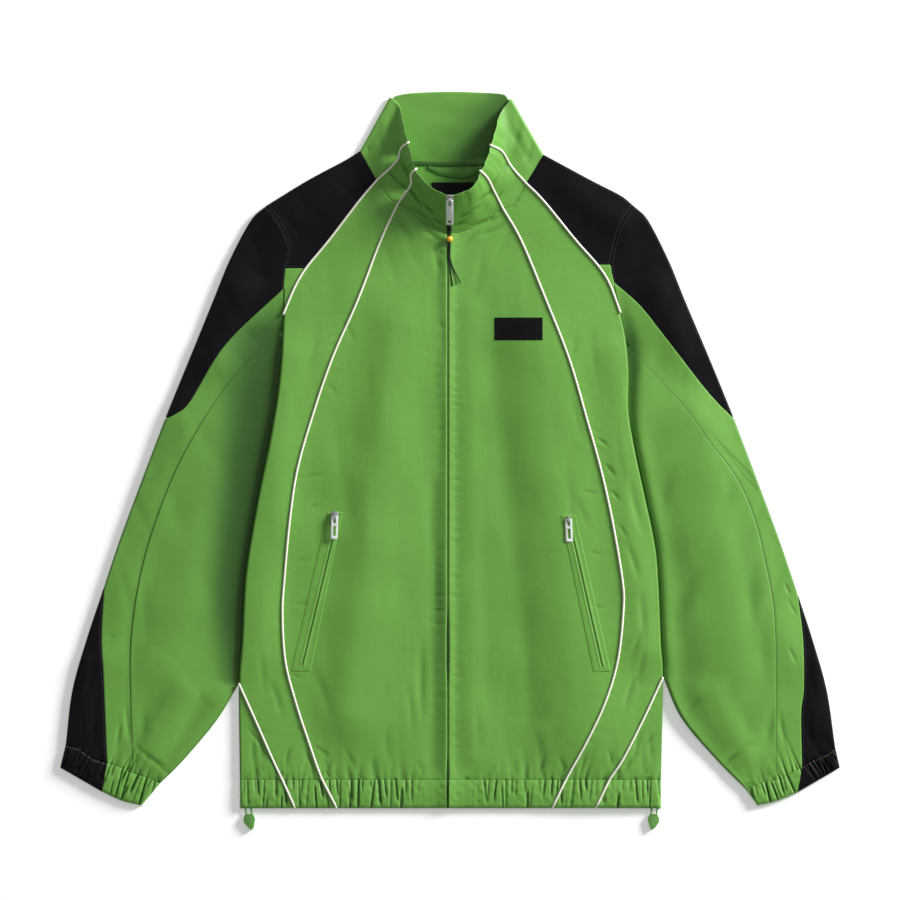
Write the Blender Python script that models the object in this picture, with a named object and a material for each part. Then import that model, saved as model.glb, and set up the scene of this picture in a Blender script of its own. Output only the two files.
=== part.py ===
# A full-zip nylon track jacket, laid flat on its back, front side up, with its stand collar
# zipped to the top so that the collar's front stands off the table.
#
# Frame: +X to the right of someone looking down at it, +Y from the hem to the collar, +Z up
# from the table; the origin is on the table under the middle of the outline. "left" and
# "right" are the picture's sides: the left pieces are at -X. The garment is not quite
# symmetrical as it lies, so each seam has a row of points for either side.
#
# Every size in the tables is in millimetres; make_object turns them into metres.
# The jacket lies in two layers. The back layer is flat plates on the table. The front layer
# is walls over a surface z = lie(x, y), whose plan outlines are the seams.

import math

import bpy
import numpy as np
from mathutils import Matrix, Vector

for old in list(bpy.data.objects):
    bpy.data.objects.remove(old, do_unlink=True)

MM = 0.001

# ---------------------------------------------------------------- driving sizes (mm)
GAP = 0.3                # between any two pieces
BACK_WALL = 1.2          # cloth of the back layer
WALL = 1.4               # cloth of the front layer, measured straight down
COLLAR_WALL = 2.4        # the collar is two cloths, measured straight down
FLOOR = BACK_WALL + GAP  # the lowest that the front layer comes
LIE = 5.8                # how high the front's face lies over the table
EDGE_TOP = 2.9           # face height where a fold rounds down to the back layer
ROLL = 3.5               # width of that rounding
TUCK = 2.95              # the sleeve's face where the body's side edge lies over it
TUCK_REACH = 20.0        # how far that dip reaches into the sleeve
HEM_Y, BOTTOM_Y = -356.0, -387.0
ZIP_X, ZIP_HALF = -2.4, 1.2
PIPING_R = 1.2
COLLAR_TOP_Z = 42.0      # the collar's top edge at the zip

# ---------------------------------------------------------------- seams, x and y (mm)
# Each runs from the collar end to the hem or cuff end.
SEAMS = {
    "neck": {                       # collar seam, from the outer piping to the zip
        "left": [(-79, 291), (-66, 273), (-56, 266), (-28, 245), (-3.6, 233)],
        "right": [(82, 288), (70, 266), (57, 261), (28, 241), (-1.2, 233)]},
    "inner_piping": {
        "left": [(-56, 266), (-75, 226), (-100, 161), (-128, 97), (-150, 32), (-165, -22),
                 (-173, -76), (-179, -141), (-181, -176), (-178, -227), (-167, -271),
                 (-153, -314), (-138, -356), (-122, -387)],
        "right": [(57, 261), (77, 226), (104, 161), (129, 97), (148, 32), (163, -22),
                  (175, -76), (186, -141), (187, -173), (181, -227), (168, -271),
                  (148, -314), (125, -356), (110, -387)]},
    "outer_piping": {               # raglan seam, collar to armhole
        "left": [(-79, 291), (-98, 269), (-131, 226), (-155, 197), (-168, 175), (-180, 146)],
        "right": [(82, 288), (101, 269), (136, 226), (159, 200), (172, 180), (184, 148)]},
    "lower_piping": {
        "left": [(-228, -252), (-210, -292), (-191, -335), (-181, -356), (-167, -387)],
        "right": [(230, -245), (208, -292), (186, -335), (172, -356), (157, -387)]},
    "side_edge": {                  # the fold along the body's side, armhole to hem
        "left": [(-180, 146), (-182, 109), (-187, 59), (-195, 12), (-209, -59),
                 (-221, -134), (-225, -204), (-228, -252), (-227, -356), (-227, -387)],
        "right": [(184, 148), (190, 118), (193, 84), (193, 42), (199, 4), (210, -48),
                  (221, -100), (225, -140), (228, -210), (230, -245), (228, -356),
                  (227, -387)]},
    "armhole": {                    # shoulder to the small underarm panel
        "left": [(-198, 264), (-183, 243), (-173, 219), (-178, 196)],
        "right": [(198, 264), (185, 244), (177, 221), (173, 200)]},
    "shoulder_edge": {              # outline, collar to armhole
        "left": [(-97, 323), (-113, 313), (-154, 291), (-198, 264)],
        "right": [(101, 319), (153, 291), (184, 275), (198, 264)]},
    "sleeve_edge": {                # outline, armhole to the black panel's tip
        "left": [(-198, 264), (-215, 248), (-238, 205), (-256, 161), (-282, 97), (-300, 53),
                 (-308, 33)],
        "right": [(198, 264), (214, 248), (236, 205), (254, 161), (281, 97), (299, 53),
                  (307, 33)]},
    "forearm_edge": {               # outline, that tip to the cuff insert's tip
        "left": [(-308, 33), (-333, -33), (-357, -98), (-373, -146)],
        "right": [(307, 33), (332, -33), (356, -98), (375, -154)]},
    "wrist_edge": {                 # outline, along the cuff insert
        "left": [(-373, -146), (-393, -206), (-408, -260), (-415, -318)],
        "right": [(375, -154), (392, -206), (407, -260), (416, -321)]},
    "black_edge": {                 # lower edge of the black sleeve top
        "left": [(-180, 174), (-242, 114), (-280, 53), (-294, 40), (-308, 33)],
        "right": [(177, 181), (206, 155), (236, 117), (279, 62), (307, 33)]},
    "sleeve_seam": {
        "left": [(-182, 129), (-234, 79), (-286, -1), (-318, -76), (-336, -141),
                 (-345, -206), (-345, -271), (-342, -349)],
        "right": [(190, 118), (206, 97), (250, 50), (279, 10), (308, -28), (328, -71),
                  (340, -119), (350, -175), (352, -249), (352, -356)]},
    "insert_seam": {
        "left": [(-373, -146), (-376, -202), (-374, -240), (-372, -290), (-370, -338)],
        "right": [(375, -154), (381, -204), (382, -256), (379, -285), (380, -342)]},
    "under_edge": {                 # outline of the sleeve's under side
        "left": [(-228, -252), (-252, -292), (-288, -335), (-313, -360)],
        "right": [(230, -245), (250, -290), (288, -335), (319, -366)]},
    "collar_edge": {                # the collar's top edge, from the side fold to the zip
        "left": [(-65, 381), (-55, 373), (-51, 358), (-48, 343), (-45, 331), (-41, 316),
                 (-37, 302), (-30, 292), (-19, 282), (-3.6, 274)],
        "right": [(66, 380), (54, 363), (49, 345), (44, 328), (39, 312), (33, 300),
                  (25, 284), (10, 276), (-1.2, 274)]},
}
COLLAR_BACK_TOP = [(-65, 381), (-49, 384.5), (-32, 386), (1, 387), (33, 386), (55, 384.5),
                   (66, 380)]
COLLAR_BACK_BASE = [(-97, 323), (-60, 313), (0, 310), (60, 313), (101, 319)]

# Where the sides' own levels are (y).
LEVELS = {
    "left": dict(under_panel=196, tuck=174, armpit=146, seam=129, hem_side=-252),
    "right": dict(under_panel=200, tuck=181, armpit=148, seam=118, hem_side=-245)}

# The cuffs: corner points of the casing's seam and of its free edge, outer side first.
CUFFS = {
    "left": dict(black_seam=[(-415, -318), (-401, -322), (-385, -333), (-370, -338)],
                 black_edge=[(-421, -343), (-376, -369)],
                 green_seam=[(-370, -338), (-358, -342), (-342, -349), (-329, -353),
                             (-313, -360)],
                 green_edge=[(-376, -369), (-354, -379), (-333, -384)]),
    "right": dict(black_seam=[(416, -321), (407, -328), (393, -334), (380, -342)],
                  black_edge=[(421, -343), (375, -370)],
                  green_seam=[(380, -342), (366, -350), (352, -356), (338, -359),
                              (319, -366)],
                  green_edge=[(375, -370), (353, -379), (332, -384)])}

# Large folds of the front layer: soft ridges (rise > 0) and troughs along a line.
FOLDS = [  # x0,   y0,   x1,   y1, reach, rise
    (-40, 150, -110, -290, 28, 3.4),
    (-104, 90, -146, -250, 16, -1.0),
    (-24, 120, -20, -320, 10, 1.2),
    (14, 170, 16, -330, 12, 1.6),
    (52, 100, 96, -285, 16, -1.2),
    (84, 130, 135, -285, 26, 3.4),
    (-172, 110, -211, -205, 13, 4.4),
    (178, 110, 210, -200, 13, 4.4),
    (-128, 284, -182, 246, 18, 2.4),
    (132, 280, 182, 246, 18, 2.4),
    (-226, 170, -256, 100, 20, 3.2),
    (226, 170, 254, 100, 20, 3.2),
    (-266, 40, -310, -230, 32, 4.6),
    (262, 30, 306, -230, 32, 4.6),
    (-290, 30, -370, -220, 22, 2.6),
    (288, 20, 370, -230, 22, 2.6),
    (-282, -262, -318, -326, 15, 2.0),
    (282, -262, 322, -330, 15, 2.2),
    (-392, -230, -396, -300, 10, 1.8),
    (394, -230, 398, -300, 10, 1.8),
]

COLORS = {  # red, green, blue, roughness, metallic
    "green nylon": (0.16, 0.40, 0.075, 0.55, 0.0),
    "black nylon": (0.012, 0.012, 0.016, 0.55, 0.0),
    "cream piping": (0.86, 0.80, 0.60, 0.6, 0.0),
    "zip metal": (0.62, 0.63, 0.65, 0.3, 1.0),
    "zip tape": (0.14, 0.33, 0.07, 0.7, 0.0),
    "black cord": (0.015, 0.015, 0.015, 0.7, 0.0),
    "yellow bead": (0.82, 0.42, 0.02, 0.35, 0.0),
    "green cord": (0.15, 0.38, 0.08, 0.7, 0.0),
    "green rubber": (0.15, 0.36, 0.08, 0.45, 0.0),
}


# ---------------------------------------------------------------- curves in plan
def smooth(points, count):
    """A Catmull-Rom curve through the points, as count points even along its length."""
    p = np.array(points, float)
    if len(p) == 2:
        return p[0] + (p[1] - p[0]) * np.linspace(0, 1, count)[:, None]
    p = np.vstack([2 * p[0] - p[1], p, 2 * p[-1] - p[-2]])
    t = np.linspace(0, 1, 24, endpoint=False)[:, None]
    runs = []
    for a, b, c, d in zip(p, p[1:], p[2:], p[3:]):
        runs.append(0.5 * (2 * b + (c - a) * t + (2 * a - 5 * b + 4 * c - d) * t ** 2
                           + (3 * b - a - 3 * c + d) * t ** 3))
    fine = np.vstack(runs + [p[-2:-1]])
    along = np.concatenate([[0], np.cumsum(np.linalg.norm(np.diff(fine, axis=0), axis=1))])
    at = np.linspace(0, along[-1], count)
    return np.stack([np.interp(at, along, fine[:, k]) for k in range(2)], axis=1)


def at_levels(points, levels):
    """The points of a seam that runs down the body, at the given y."""
    fine = smooth(points, 400)
    x = np.interp(levels, fine[::-1, 1], fine[::-1, 0])
    return np.stack([x, levels], axis=1)


def join(*runs):
    """Runs end to end, each starting where the last one ends."""
    return np.vstack([runs[0]] + [r[1:] for r in runs[1:]])


def split(points, parts):
    """The same polyline, each of its stretches divided into parts."""
    t = np.arange(parts)[:, None] / parts
    runs = [a + (b - a) * t for a, b in zip(points, points[1:])]
    return np.vstack(runs + [points[-1:]])


def trim(points, start=0.0, end=0.0):
    """A polyline shortened by a part of its first and of its last stretch."""
    p = points.copy()
    p[0] += (points[1] - points[0]) * start
    p[-1] += (points[-2] - points[-1]) * end
    return p


def coons(top, bottom, outer, inner):
    """The grid of plan points that four edges enclose: rows from the collar end down,
    columns from the outer edge to the inner one."""
    u = np.linspace(0, 1, len(top))[None, :, None]
    v = np.linspace(0, 1, len(outer))[:, None, None]
    corners = ((1 - u) * (1 - v) * top[0] + u * (1 - v) * top[-1]
               + (1 - u) * v * bottom[0] + u * v * bottom[-1])
    return ((1 - v) * top[None] + v * bottom[None]
            + (1 - u) * outer[:, None] + u * inner[:, None] - corners)


def inset(grid, amount=GAP / 2):
    """The grid with its rim moved inwards, square to each edge."""
    g = grid.copy()
    centre = grid.reshape(-1, 2).mean(axis=0)
    rims = [(np.s_[0, :], grid[1]), (np.s_[-1, :], grid[-2]),
            (np.s_[:, 0], grid[:, 1]), (np.s_[:, -1], grid[:, -2])]
    for rim, inside in rims:
        edge = grid[rim]
        along = np.gradient(edge, axis=0)
        square = np.stack([-along[:, 1], along[:, 0]], axis=1)
        square /= np.linalg.norm(square, axis=1)[:, None]
        side = np.sign(np.sum((inside - edge) * square, axis=1))
        if np.any(side == 0):
            side = np.sign(np.sum((centre - edge) * square, axis=1))
        g[rim] += square * side[:, None] * amount
    return g


# ---------------------------------------------------------------- the lie of the front
def lie(x, y):
    """Height of the front layer's face: LIE plus the folds, each rise * exp(-(d/reach)^2)
    of the distance d to its line."""
    z = np.full(np.shape(x), LIE)
    for x0, y0, x1, y1, reach, rise in FOLDS:
        dx, dy = x1 - x0, y1 - y0
        t = np.clip(((x - x0) * dx + (y - y0) * dy) / (dx * dx + dy * dy), 0, 1)
        z += rise * np.exp(-((x - x0 - t * dx) ** 2 + (y - y0 - t * dy) ** 2) / reach ** 2)
    return z


def sleeve_lie(side):
    """The sleeve's face: the lie, dipping to TUCK beside the body's side edge."""
    levels = LEVELS[side]
    edge = smooth(SEAMS["side_edge"][side], 400)
    sign = -1 if side == "left" else 1

    def height(x, y):
        z = lie(x, y)
        beyond = np.maximum(sign * (x - np.interp(y, edge[::-1, 1], edge[::-1, 0])), 0)
        ramp = np.clip((levels["tuck"] - y) / (levels["tuck"] - levels["seam"]), 0, 1)
        fade = np.clip((y - levels["hem_side"] + 60) / 60, 0, 1)
        dip = np.exp(-(beyond / TUCK_REACH) ** 2) * ramp * fade
        return z + (TUCK - z) * dip
    return height


# ---------------------------------------------------------------- meshes
FACES = {}               # the upper face of each piece, as triangles, to lay others on


def own_material(name, color):
    """A material of the piece's own, in one of the COLORS."""
    red, green, blue, rough, metal = COLORS[color]
    material = bpy.data.materials.new(name)
    material.use_nodes = True
    shader = material.node_tree.nodes["Principled BSDF"]
    shader.inputs["Base Color"].default_value = (red, green, blue, 1)
    shader.inputs["Roughness"].default_value = rough
    shader.inputs["Metallic"].default_value = metal
    return material


def make_object(name, verts, faces, color, smooth_below=35):
    """An object of its own material from points in millimetres, shaded smooth where its
    faces meet at less than smooth_below degrees."""
    mesh = bpy.data.meshes.new(name)
    mesh.from_pydata((np.array(verts) * MM).tolist(), [], faces)
    mesh.validate()
    mesh.shade_smooth()
    mesh.set_sharp_from_angle(angle=math.radians(smooth_below))
    obj = bpy.data.objects.new(name, mesh)
    bpy.context.scene.collection.objects.link(obj)
    mesh.materials.append(own_material(name, color))
    return obj


def triangles_of(rows, cols):
    """The triangles of a grid's quads, in reading order."""
    i = (np.arange(rows - 1)[:, None] * cols + np.arange(cols - 1)[None]).ravel()
    return np.vstack([np.stack([i, i + cols, i + cols + 1], 1),
                      np.stack([i, i + cols + 1, i + 1], 1)])


def slab(name, top, bottom, color):
    """A closed wall between two grids of points, with a rim round it."""
    rows, cols = top.shape[:2]
    verts = np.vstack([top.reshape(-1, 3), bottom.reshape(-1, 3)])
    upper = triangles_of(rows, cols)
    count = rows * cols
    index = np.arange(count).reshape(rows, cols)
    ring = np.concatenate([index[0, :-1], index[:-1, -1], index[-1, :0:-1], index[:0:-1, 0]])
    after = np.roll(ring, -1)
    rim = np.vstack([np.stack([ring, after, after + count], 1),
                     np.stack([ring, after + count, ring + count], 1)])
    faces = np.vstack([upper, upper[:, ::-1] + count, rim])
    a, b, c = (verts[faces[:, k]] for k in range(3))
    if np.sum(np.cross(a, b) * c) < 0:
        faces = faces[:, ::-1]
    FACES[name] = verts[upper]
    return make_object(name, verts, faces.tolist(), color)


def roll_columns(grid, face, under, strength):
    """Two more columns beside the first one, where the cloth rounds down by strength
    (0 a flat seam, 1 a full fold) to the back layer."""
    edge, step = grid[:, 0], grid[:, 1] - grid[:, 0]
    width = np.linalg.norm(step, axis=1)[:, None]
    unit = step / width
    near = edge + unit * np.minimum(0.3 * ROLL, 0.15 * width)
    far = edge + unit * np.minimum(ROLL, 0.45 * width)
    s = strength[:, None]
    full = face[:, :1] + (face[:, 1:2] - face[:, :1]) * np.minimum(ROLL / width, 0.45)
    low = full - under
    face_cols = np.hstack([full + (EDGE_TOP - full) * s,
                           full + (EDGE_TOP - full) * s * 0.3, full])
    base_cols = np.hstack([low + (FLOOR - low) * s,
                           low + (FLOOR + 0.4 - low) * s * 0.9, low])
    grid = np.concatenate([np.stack([edge, near, far], 1), grid[:, 1:]], axis=1)
    face_z = np.hstack([face_cols, face[:, 1:]])
    base_z = np.hstack([base_cols, face[:, 1:] - under])
    return grid, face_z, base_z


def panel(name, color, grid, height=lie, roll=None, roll_inner=False, under=WALL):
    """A cloth panel of the front layer over a grid of plan points. roll gives, row by
    row, how far its outer (or inner) edge rounds down."""
    grid = inset(grid)
    if roll_inner:
        grid = grid[:, ::-1]
    face = height(grid[..., 0], grid[..., 1])
    if roll is None:
        base = face - under
    else:
        grid, face, base = roll_columns(grid, face, under, np.array(roll, float))
    base = np.maximum(base, FLOOR)
    top = np.dstack([grid, face])
    bottom = np.dstack([grid, base])
    return slab(name, top, bottom, color)


def plate(name, color, grid):
    """A flat panel of the back layer, lying on the table."""
    grid = inset(grid)
    flat = np.zeros(grid.shape[:2])
    return slab(name, np.dstack([grid, flat + BACK_WALL]), np.dstack([grid, flat]), color)


def tube(name, color, path, radius, sides=6, spin=0.5):
    """A closed tube along a path; its rings stand square to the path."""
    path = np.array(path, float)
    along = np.gradient(path, axis=0)
    along /= np.linalg.norm(along, axis=1)[:, None]
    across = np.cross(along, [0, 0, 1.0])
    across /= np.linalg.norm(across, axis=1)[:, None]
    up = np.cross(across, along)
    a = 2 * np.pi * (np.arange(sides) + spin) / sides
    rings = (path[:, None] + radius * (np.cos(a)[None, :, None] * across[:, None]
                                       + np.sin(a)[None, :, None] * up[:, None]))
    n = len(path)
    i = np.arange(n - 1)[:, None] * sides
    k = np.arange(sides)[None]
    nxt = (k + 1) % sides
    quads = np.stack([i + k, i + nxt, i + sides + nxt, i + sides + k], -1).reshape(-1, 4)
    caps = [list(range(sides))[::-1], list(range((n - 1) * sides, n * sides))]
    verts = rings.reshape(-1, 3)
    faces = quads.tolist() + caps
    volume = sum(np.dot(np.cross(verts[f[0]], verts[f[1]]), verts[f[2]])
                 + np.dot(np.cross(verts[f[0]], verts[f[2]]), verts[f[3]])
                 for f in quads)
    if volume < 0:
        faces = [f[::-1] for f in faces]
    return make_object(name, verts, faces, color, smooth_below=70)


def face_at(xy, names):
    """The highest face of the named pieces over each point (0 where there is none)."""
    tris = np.vstack([FACES[n] for n in names])
    p = xy.reshape(-1, 2)
    a, b, c = tris[:, 0, :2], tris[:, 1, :2], tris[:, 2, :2]
    area = (b[:, 0] - a[:, 0]) * (c[:, 1] - a[:, 1]) - (c[:, 0] - a[:, 0]) * (b[:, 1] - a[:, 1])
    area = np.where(np.abs(area) < 1e-9, 1e-9, area)
    px, py = p[:, None, 0], p[:, None, 1]
    s = ((px - a[:, 0]) * (c[:, 1] - a[:, 1]) - (c[:, 0] - a[:, 0]) * (py - a[:, 1])) / area
    t = ((b[:, 0] - a[:, 0]) * (py - a[:, 1]) - (px - a[:, 0]) * (b[:, 1] - a[:, 1])) / area
    z = tris[:, 0, 2] + s * (tris[:, 1, 2] - tris[:, 0, 2]) + t * (tris[:, 2, 2] - tris[:, 0, 2])
    z = np.where((s >= -0.01) & (t >= -0.01) & (s + t <= 1.01), z, 0)
    return z.max(axis=1).reshape(xy.shape[:-1])


def laid_on(grid, names, gap=GAP):
    """Heights for a grid that lies on the named pieces, gap over their faces all over."""
    z = face_at(grid, names) + gap
    short = 0.0
    for u in np.linspace(0, 1, 5):
        for v in np.linspace(0, 1, 5):
            def mix(g):
                return ((1 - v) * ((1 - u) * g[:-1, :-1] + u * g[:-1, 1:])
                        + v * ((1 - u) * g[1:, :-1] + u * g[1:, 1:]))
            short = max(short, np.max(face_at(mix(grid), names) + gap - mix(z)))
    return z + short


# ---------------------------------------------------------------- body and shoulders
SEAM_ROWS, ARM_ROWS, SIDE_ROWS, HIP_ROWS = 4, 2, 10, 3
FRONT_COLS = 8


def body_levels(side, top):
    """The rows of a seam that runs from the collar to the hem casing."""
    lv = LEVELS[side]
    upper = np.linspace(top, lv["armpit"], SEAM_ROWS + ARM_ROWS + 1)
    middle = np.concatenate([[lv["seam"]], np.linspace(lv["seam"], lv["hem_side"], SIDE_ROWS)[1:]])
    lower = np.linspace(lv["hem_side"], HEM_Y, HIP_ROWS + 1)[1:]
    return np.concatenate([upper, middle, lower])


def side_curves(side):
    """The shared edges of one side's panels, as points that neighbours have in common."""
    lv = LEVELS[side]
    seam = {name: SEAMS[name][side] for name in SEAMS}
    zip_x = ZIP_X + (-ZIP_HALF if side == "left" else ZIP_HALF)
    neck = seam["neck"]
    c = {}
    c["neck_mid"] = smooth(neck[:3], 5)
    c["neck_front"] = smooth(neck[2:], FRONT_COLS + 1)
    c["inner"] = at_levels(seam["inner_piping"], body_levels(side, neck[2][1]))
    levels = body_levels(side, neck[-1][1])
    c["zip"] = np.stack([np.full(len(levels), zip_x), levels], axis=1)
    raglan = np.concatenate([np.linspace(neck[0][1], lv["under_panel"], SEAM_ROWS + 1),
                             np.linspace(lv["under_panel"], lv["armpit"], ARM_ROWS + 1)[1:]])
    c["raglan"] = at_levels(seam["outer_piping"], raglan)
    rows = body_levels(side, neck[0][1])[SEAM_ROWS + ARM_ROWS:]
    c["side"] = at_levels(seam["side_edge"], rows[:SIDE_ROWS + 1])
    c["hip"] = at_levels(seam["side_edge"], rows[SIDE_ROWS:])
    c["lower"] = at_levels(seam["lower_piping"], rows[SIDE_ROWS:])
    arm = smooth(seam["armhole"], 5)
    tuck = np.array(seam["black_edge"][0], float)
    armpit = c["raglan"][-1]
    c["armhole"] = arm
    c["under_panel"] = np.vstack([arm[-1], tuck, armpit])
    c["collar_black"] = smooth([COLLAR_BACK_BASE[0 if side == "left" else -1], neck[0]], 7)
    return c


def build_body(side):
    c = side_curves(side)
    tag = "_" + side
    zip_x = c["zip"][0, 0]
    hem = [c["hip"][-1], c["lower"][-1], c["inner"][-1], np.array([zip_x, HEM_Y])]

    grid = coons(c["neck_front"], smooth([hem[2], hem[3]], FRONT_COLS + 1), c["inner"], c["zip"])
    panel("front_centre" + tag, "green nylon", grid)

    outer = join(c["raglan"], c["side"], c["lower"])
    grid = coons(c["neck_mid"], smooth([hem[1], hem[2]], 5), outer, c["inner"])
    fold = np.zeros(len(outer))
    first = SEAM_ROWS + ARM_ROWS
    fold[first:first + SIDE_ROWS + 1] = 1
    fold[first + SIDE_ROWS] = 0.35
    panel("front_side" + tag, "green nylon", grid, roll=fold)

    south = join(smooth([c["raglan"][SEAM_ROWS], c["armhole"][-1]], 3), c["armhole"][::-1])
    grid = coons(c["collar_black"], south[::-1],
                 smooth(SEAMS["shoulder_edge"][side], SEAM_ROWS + 1), c["raglan"][:SEAM_ROWS + 1])
    panel("shoulder" + tag, "black nylon", grid, roll=np.ones(SEAM_ROWS + 1))

    raglan = trim(c["raglan"][SEAM_ROWS:], end=0.25)
    under = trim(c["under_panel"], end=0.25)
    grid = coons(smooth([under[0], raglan[0]], 3), smooth([under[-1], raglan[-1]], 3),
                 under, raglan)
    panel("underarm" + tag, "green nylon", grid, roll=[0, 0.3, 0.9])

    hip, lower = trim(c["hip"], start=0.15), trim(c["lower"], start=0.15)
    grid = coons(smooth([hip[0], lower[0]], 4), smooth([hip[-1], lower[-1]], 4), hip, lower)
    panel("hip" + tag, "green nylon", grid, roll=np.ones(HIP_ROWS + 1))
    return c


# ---------------------------------------------------------------- sleeves
FOREARM_ROWS, WRIST_ROWS, UNDER_ROWS, BLACK_COLS = 8, 7, 4, 8


def build_sleeve(side, c):
    tag = "_" + side
    seam = {name: SEAMS[name][side] for name in SEAMS}
    height = sleeve_lie(side)
    cuff = CUFFS[side]

    black = smooth(seam["black_edge"], BLACK_COLS + 1)
    outline = smooth(seam["sleeve_edge"], BLACK_COLS + 1)
    armhole = join(c["armhole"], smooth([c["armhole"][-1], black[0]], 3))
    tip_out, tip_in = trim(outline, end=0.12), trim(black, end=0.12)
    grid = coons(armhole, smooth([tip_out[-1], tip_in[-1]], 7), tip_out, tip_in)
    panel("sleeve_top" + tag, "black nylon", grid, height=height,
          roll=np.ones(BLACK_COLS + 1))

    seam_line = smooth(seam["sleeve_seam"], SIDE_ROWS + UNDER_ROWS)
    seam_line[0] = c["side"][1]
    forearm = smooth(seam["forearm_edge"], FOREARM_ROWS + 1)
    insert = smooth(seam["insert_seam"], WRIST_ROWS + 1)
    body_side = np.vstack([black[0], c["side"][0], c["side"][1]])
    inner = join(body_side, seam_line)
    outer = join(forearm, insert)
    cuff_seam = np.array(cuff["green_seam"], float)
    fold = np.concatenate([np.ones(FOREARM_ROWS), [0.4], np.zeros(WRIST_ROWS)])
    grid = coons(black[::-1], split(cuff_seam[:3], BLACK_COLS // 2), outer, inner)
    panel("sleeve_outer" + tag, "green nylon", grid, height=height, roll=fold)

    inner = join(c["side"][1:], smooth(seam["under_edge"], UNDER_ROWS + 1))
    seam_side, body_side = trim(seam_line, start=0.2), trim(inner, start=0.2)
    grid = coons(smooth([seam_side[0], body_side[0]], 7), split(cuff_seam[2:], 3),
                 seam_side, body_side)
    fold = np.concatenate([np.zeros(SIDE_ROWS - 1), [0.5], np.ones(UNDER_ROWS)])
    panel("sleeve_under" + tag, "green nylon", grid, height=height, roll=fold,
          roll_inner=True)

    outer = smooth(seam["wrist_edge"], WRIST_ROWS + 1)
    tip_out, tip_in = trim(outer, start=0.15), trim(insert, start=0.15)
    grid = coons(smooth([tip_out[0], tip_in[0]], 4), np.array(cuff["black_seam"], float),
                 tip_out, tip_in)
    panel("cuff_insert" + tag, "black nylon", grid, height=height,
          roll=np.ones(WRIST_ROWS + 1))


# ---------------------------------------------------------------- gathered casings
def gathered(name, color, seam, edge, height, gathers, swell, fade=None, ends=(0, 0),
             lifted=None):
    """An elastic casing between its seam and its free edge. Each gather takes three
    columns, two on its crest and one in the narrow trough between crests, so that the
    face is height + swell * w with w = +0.5, +0.5, -1. Its under side is even."""
    count = 3 * gathers + 1
    k = np.arange(count)
    wave = np.where(k % 3 == 1, -1.0, 0.5) * (0.8 + 0.2 * np.sin(2.1 * (k // 3)))
    if fade is not None:
        wave = wave * fade(seam[:, 0])
    wave[0] = wave[-1] = 0
    middle = (seam + edge) / 2
    grid = inset(np.stack([seam, middle, edge]))
    face = height(grid[..., 0], grid[..., 1])
    lift = np.zeros(count) if lifted is None else lifted(seam[:, 0])
    rows = np.stack([face[0] - 0.2, face[1] + 0.5, EDGE_TOP + 0.7 + 2.2 * lift])
    swells = np.array([0.5, 1.0, 0.5])[:, None] * swell
    top = rows + swells * wave
    base = np.stack([rows[0] - 0.5 * swell - 1.3, rows[1] - swell - 1.3,
                     FLOOR + 2.4 * lift])
    for column, roll in ((0, ends[0]), (-1, ends[1])):
        if roll:
            top[:, column] = EDGE_TOP
            base[:, column] = FLOOR
    base = np.maximum(base, FLOOR)
    return slab(name, np.dstack([grid, top]), np.dstack([grid, base]), color)


HEM_GATHERS, HEM_SWELL = 31, 1.1
FLAT_BY_ZIP = 36.0       # the casing lies smooth this near the zip
CORD_X = {"left": (-221.0, -214.5), "right": (217.5, 224.0)}


def build_hem(side, c):
    """The front hem casing, between the body's side edge and the zip."""
    zip_x = c["zip"][0, 0]
    side_x = c["hip"][-1][0]
    count = 3 * HEM_GATHERS + 1
    x = np.linspace(side_x, zip_x, count)
    seam = np.stack([x, np.full(count, HEM_Y)], axis=1)
    edge = np.stack([x, np.full(count, BOTTOM_Y)], axis=1)
    cord = np.mean(CORD_X[side])

    def fade(at):
        return np.clip((np.abs(at - ZIP_X) - 0.6 * FLAT_BY_ZIP) / (0.8 * FLAT_BY_ZIP), 0, 1)

    def lifted(at):
        return np.clip((8.2 - np.abs(at - cord)) / 2.4, 0, 1)

    def height(px, py):
        return lie(px, np.full(np.shape(py), HEM_Y))
    gathered("hem_casing_" + side, "green nylon", seam, edge, height, HEM_GATHERS, HEM_SWELL,
             fade=fade, ends=(1, 0), lifted=lifted)


def build_cuff(side):
    """The cuff's two casings: black under the insert, green under the sleeve."""
    cuff = CUFFS[side]
    for part, color, gathers, ends in (("black", "black nylon", 6, (1, 0)),
                                       ("green", "green nylon", 8, (0, 1))):
        seam = np.array(cuff[part + "_seam"], float)
        seam = split(seam, 3 * gathers // (len(seam) - 1))
        edge = smooth(cuff[part + "_edge"], 3 * gathers + 1)
        gathered("cuff_%s_%s" % (part, side), color, seam, edge, lie, gathers, 0.8, ends=ends)


# ---------------------------------------------------------------- collar
COLLAR_ROWS = 4
COLLAR_Z = [  # part of the way along the top edge from the side fold to the zip, its height
    (0.0, 5.0), (0.10, 9.0), (0.25, 19.0), (0.42, 30.0), (0.62, 37.0), (0.8, 40.5),
    (1.0, COLLAR_TOP_Z)]
COLLAR_PIPING = {   # the pipings' plan paths over the collar, top edge to collar seam
    "left": dict(inner=[(-37, 302), (-42, 296), (-42, 286), (-56, 266)],
                 outer=[(-45, 331), (-53, 324), (-57, 312), (-79, 291)]),
    "right": dict(inner=[(33, 300), (40, 293), (47, 280), (57, 261)],
                  outer=[(44, 328), (56, 322), (66, 306), (82, 288)])}


def collar_height(grid, along, bottom_z, bulge=2.0):
    """Face height of a collar piece: straight from its top edge to its seam, swelled
    outwards by bulge * 4 v (1 - v)."""
    v = np.linspace(0, 1, len(grid))[:, None]
    parts, heights = zip(*COLLAR_Z)
    top_z = np.interp(along, parts, heights)[None]
    return top_z * (1 - v) + bottom_z[None] * v + bulge * 4 * v * (1 - v)


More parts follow.
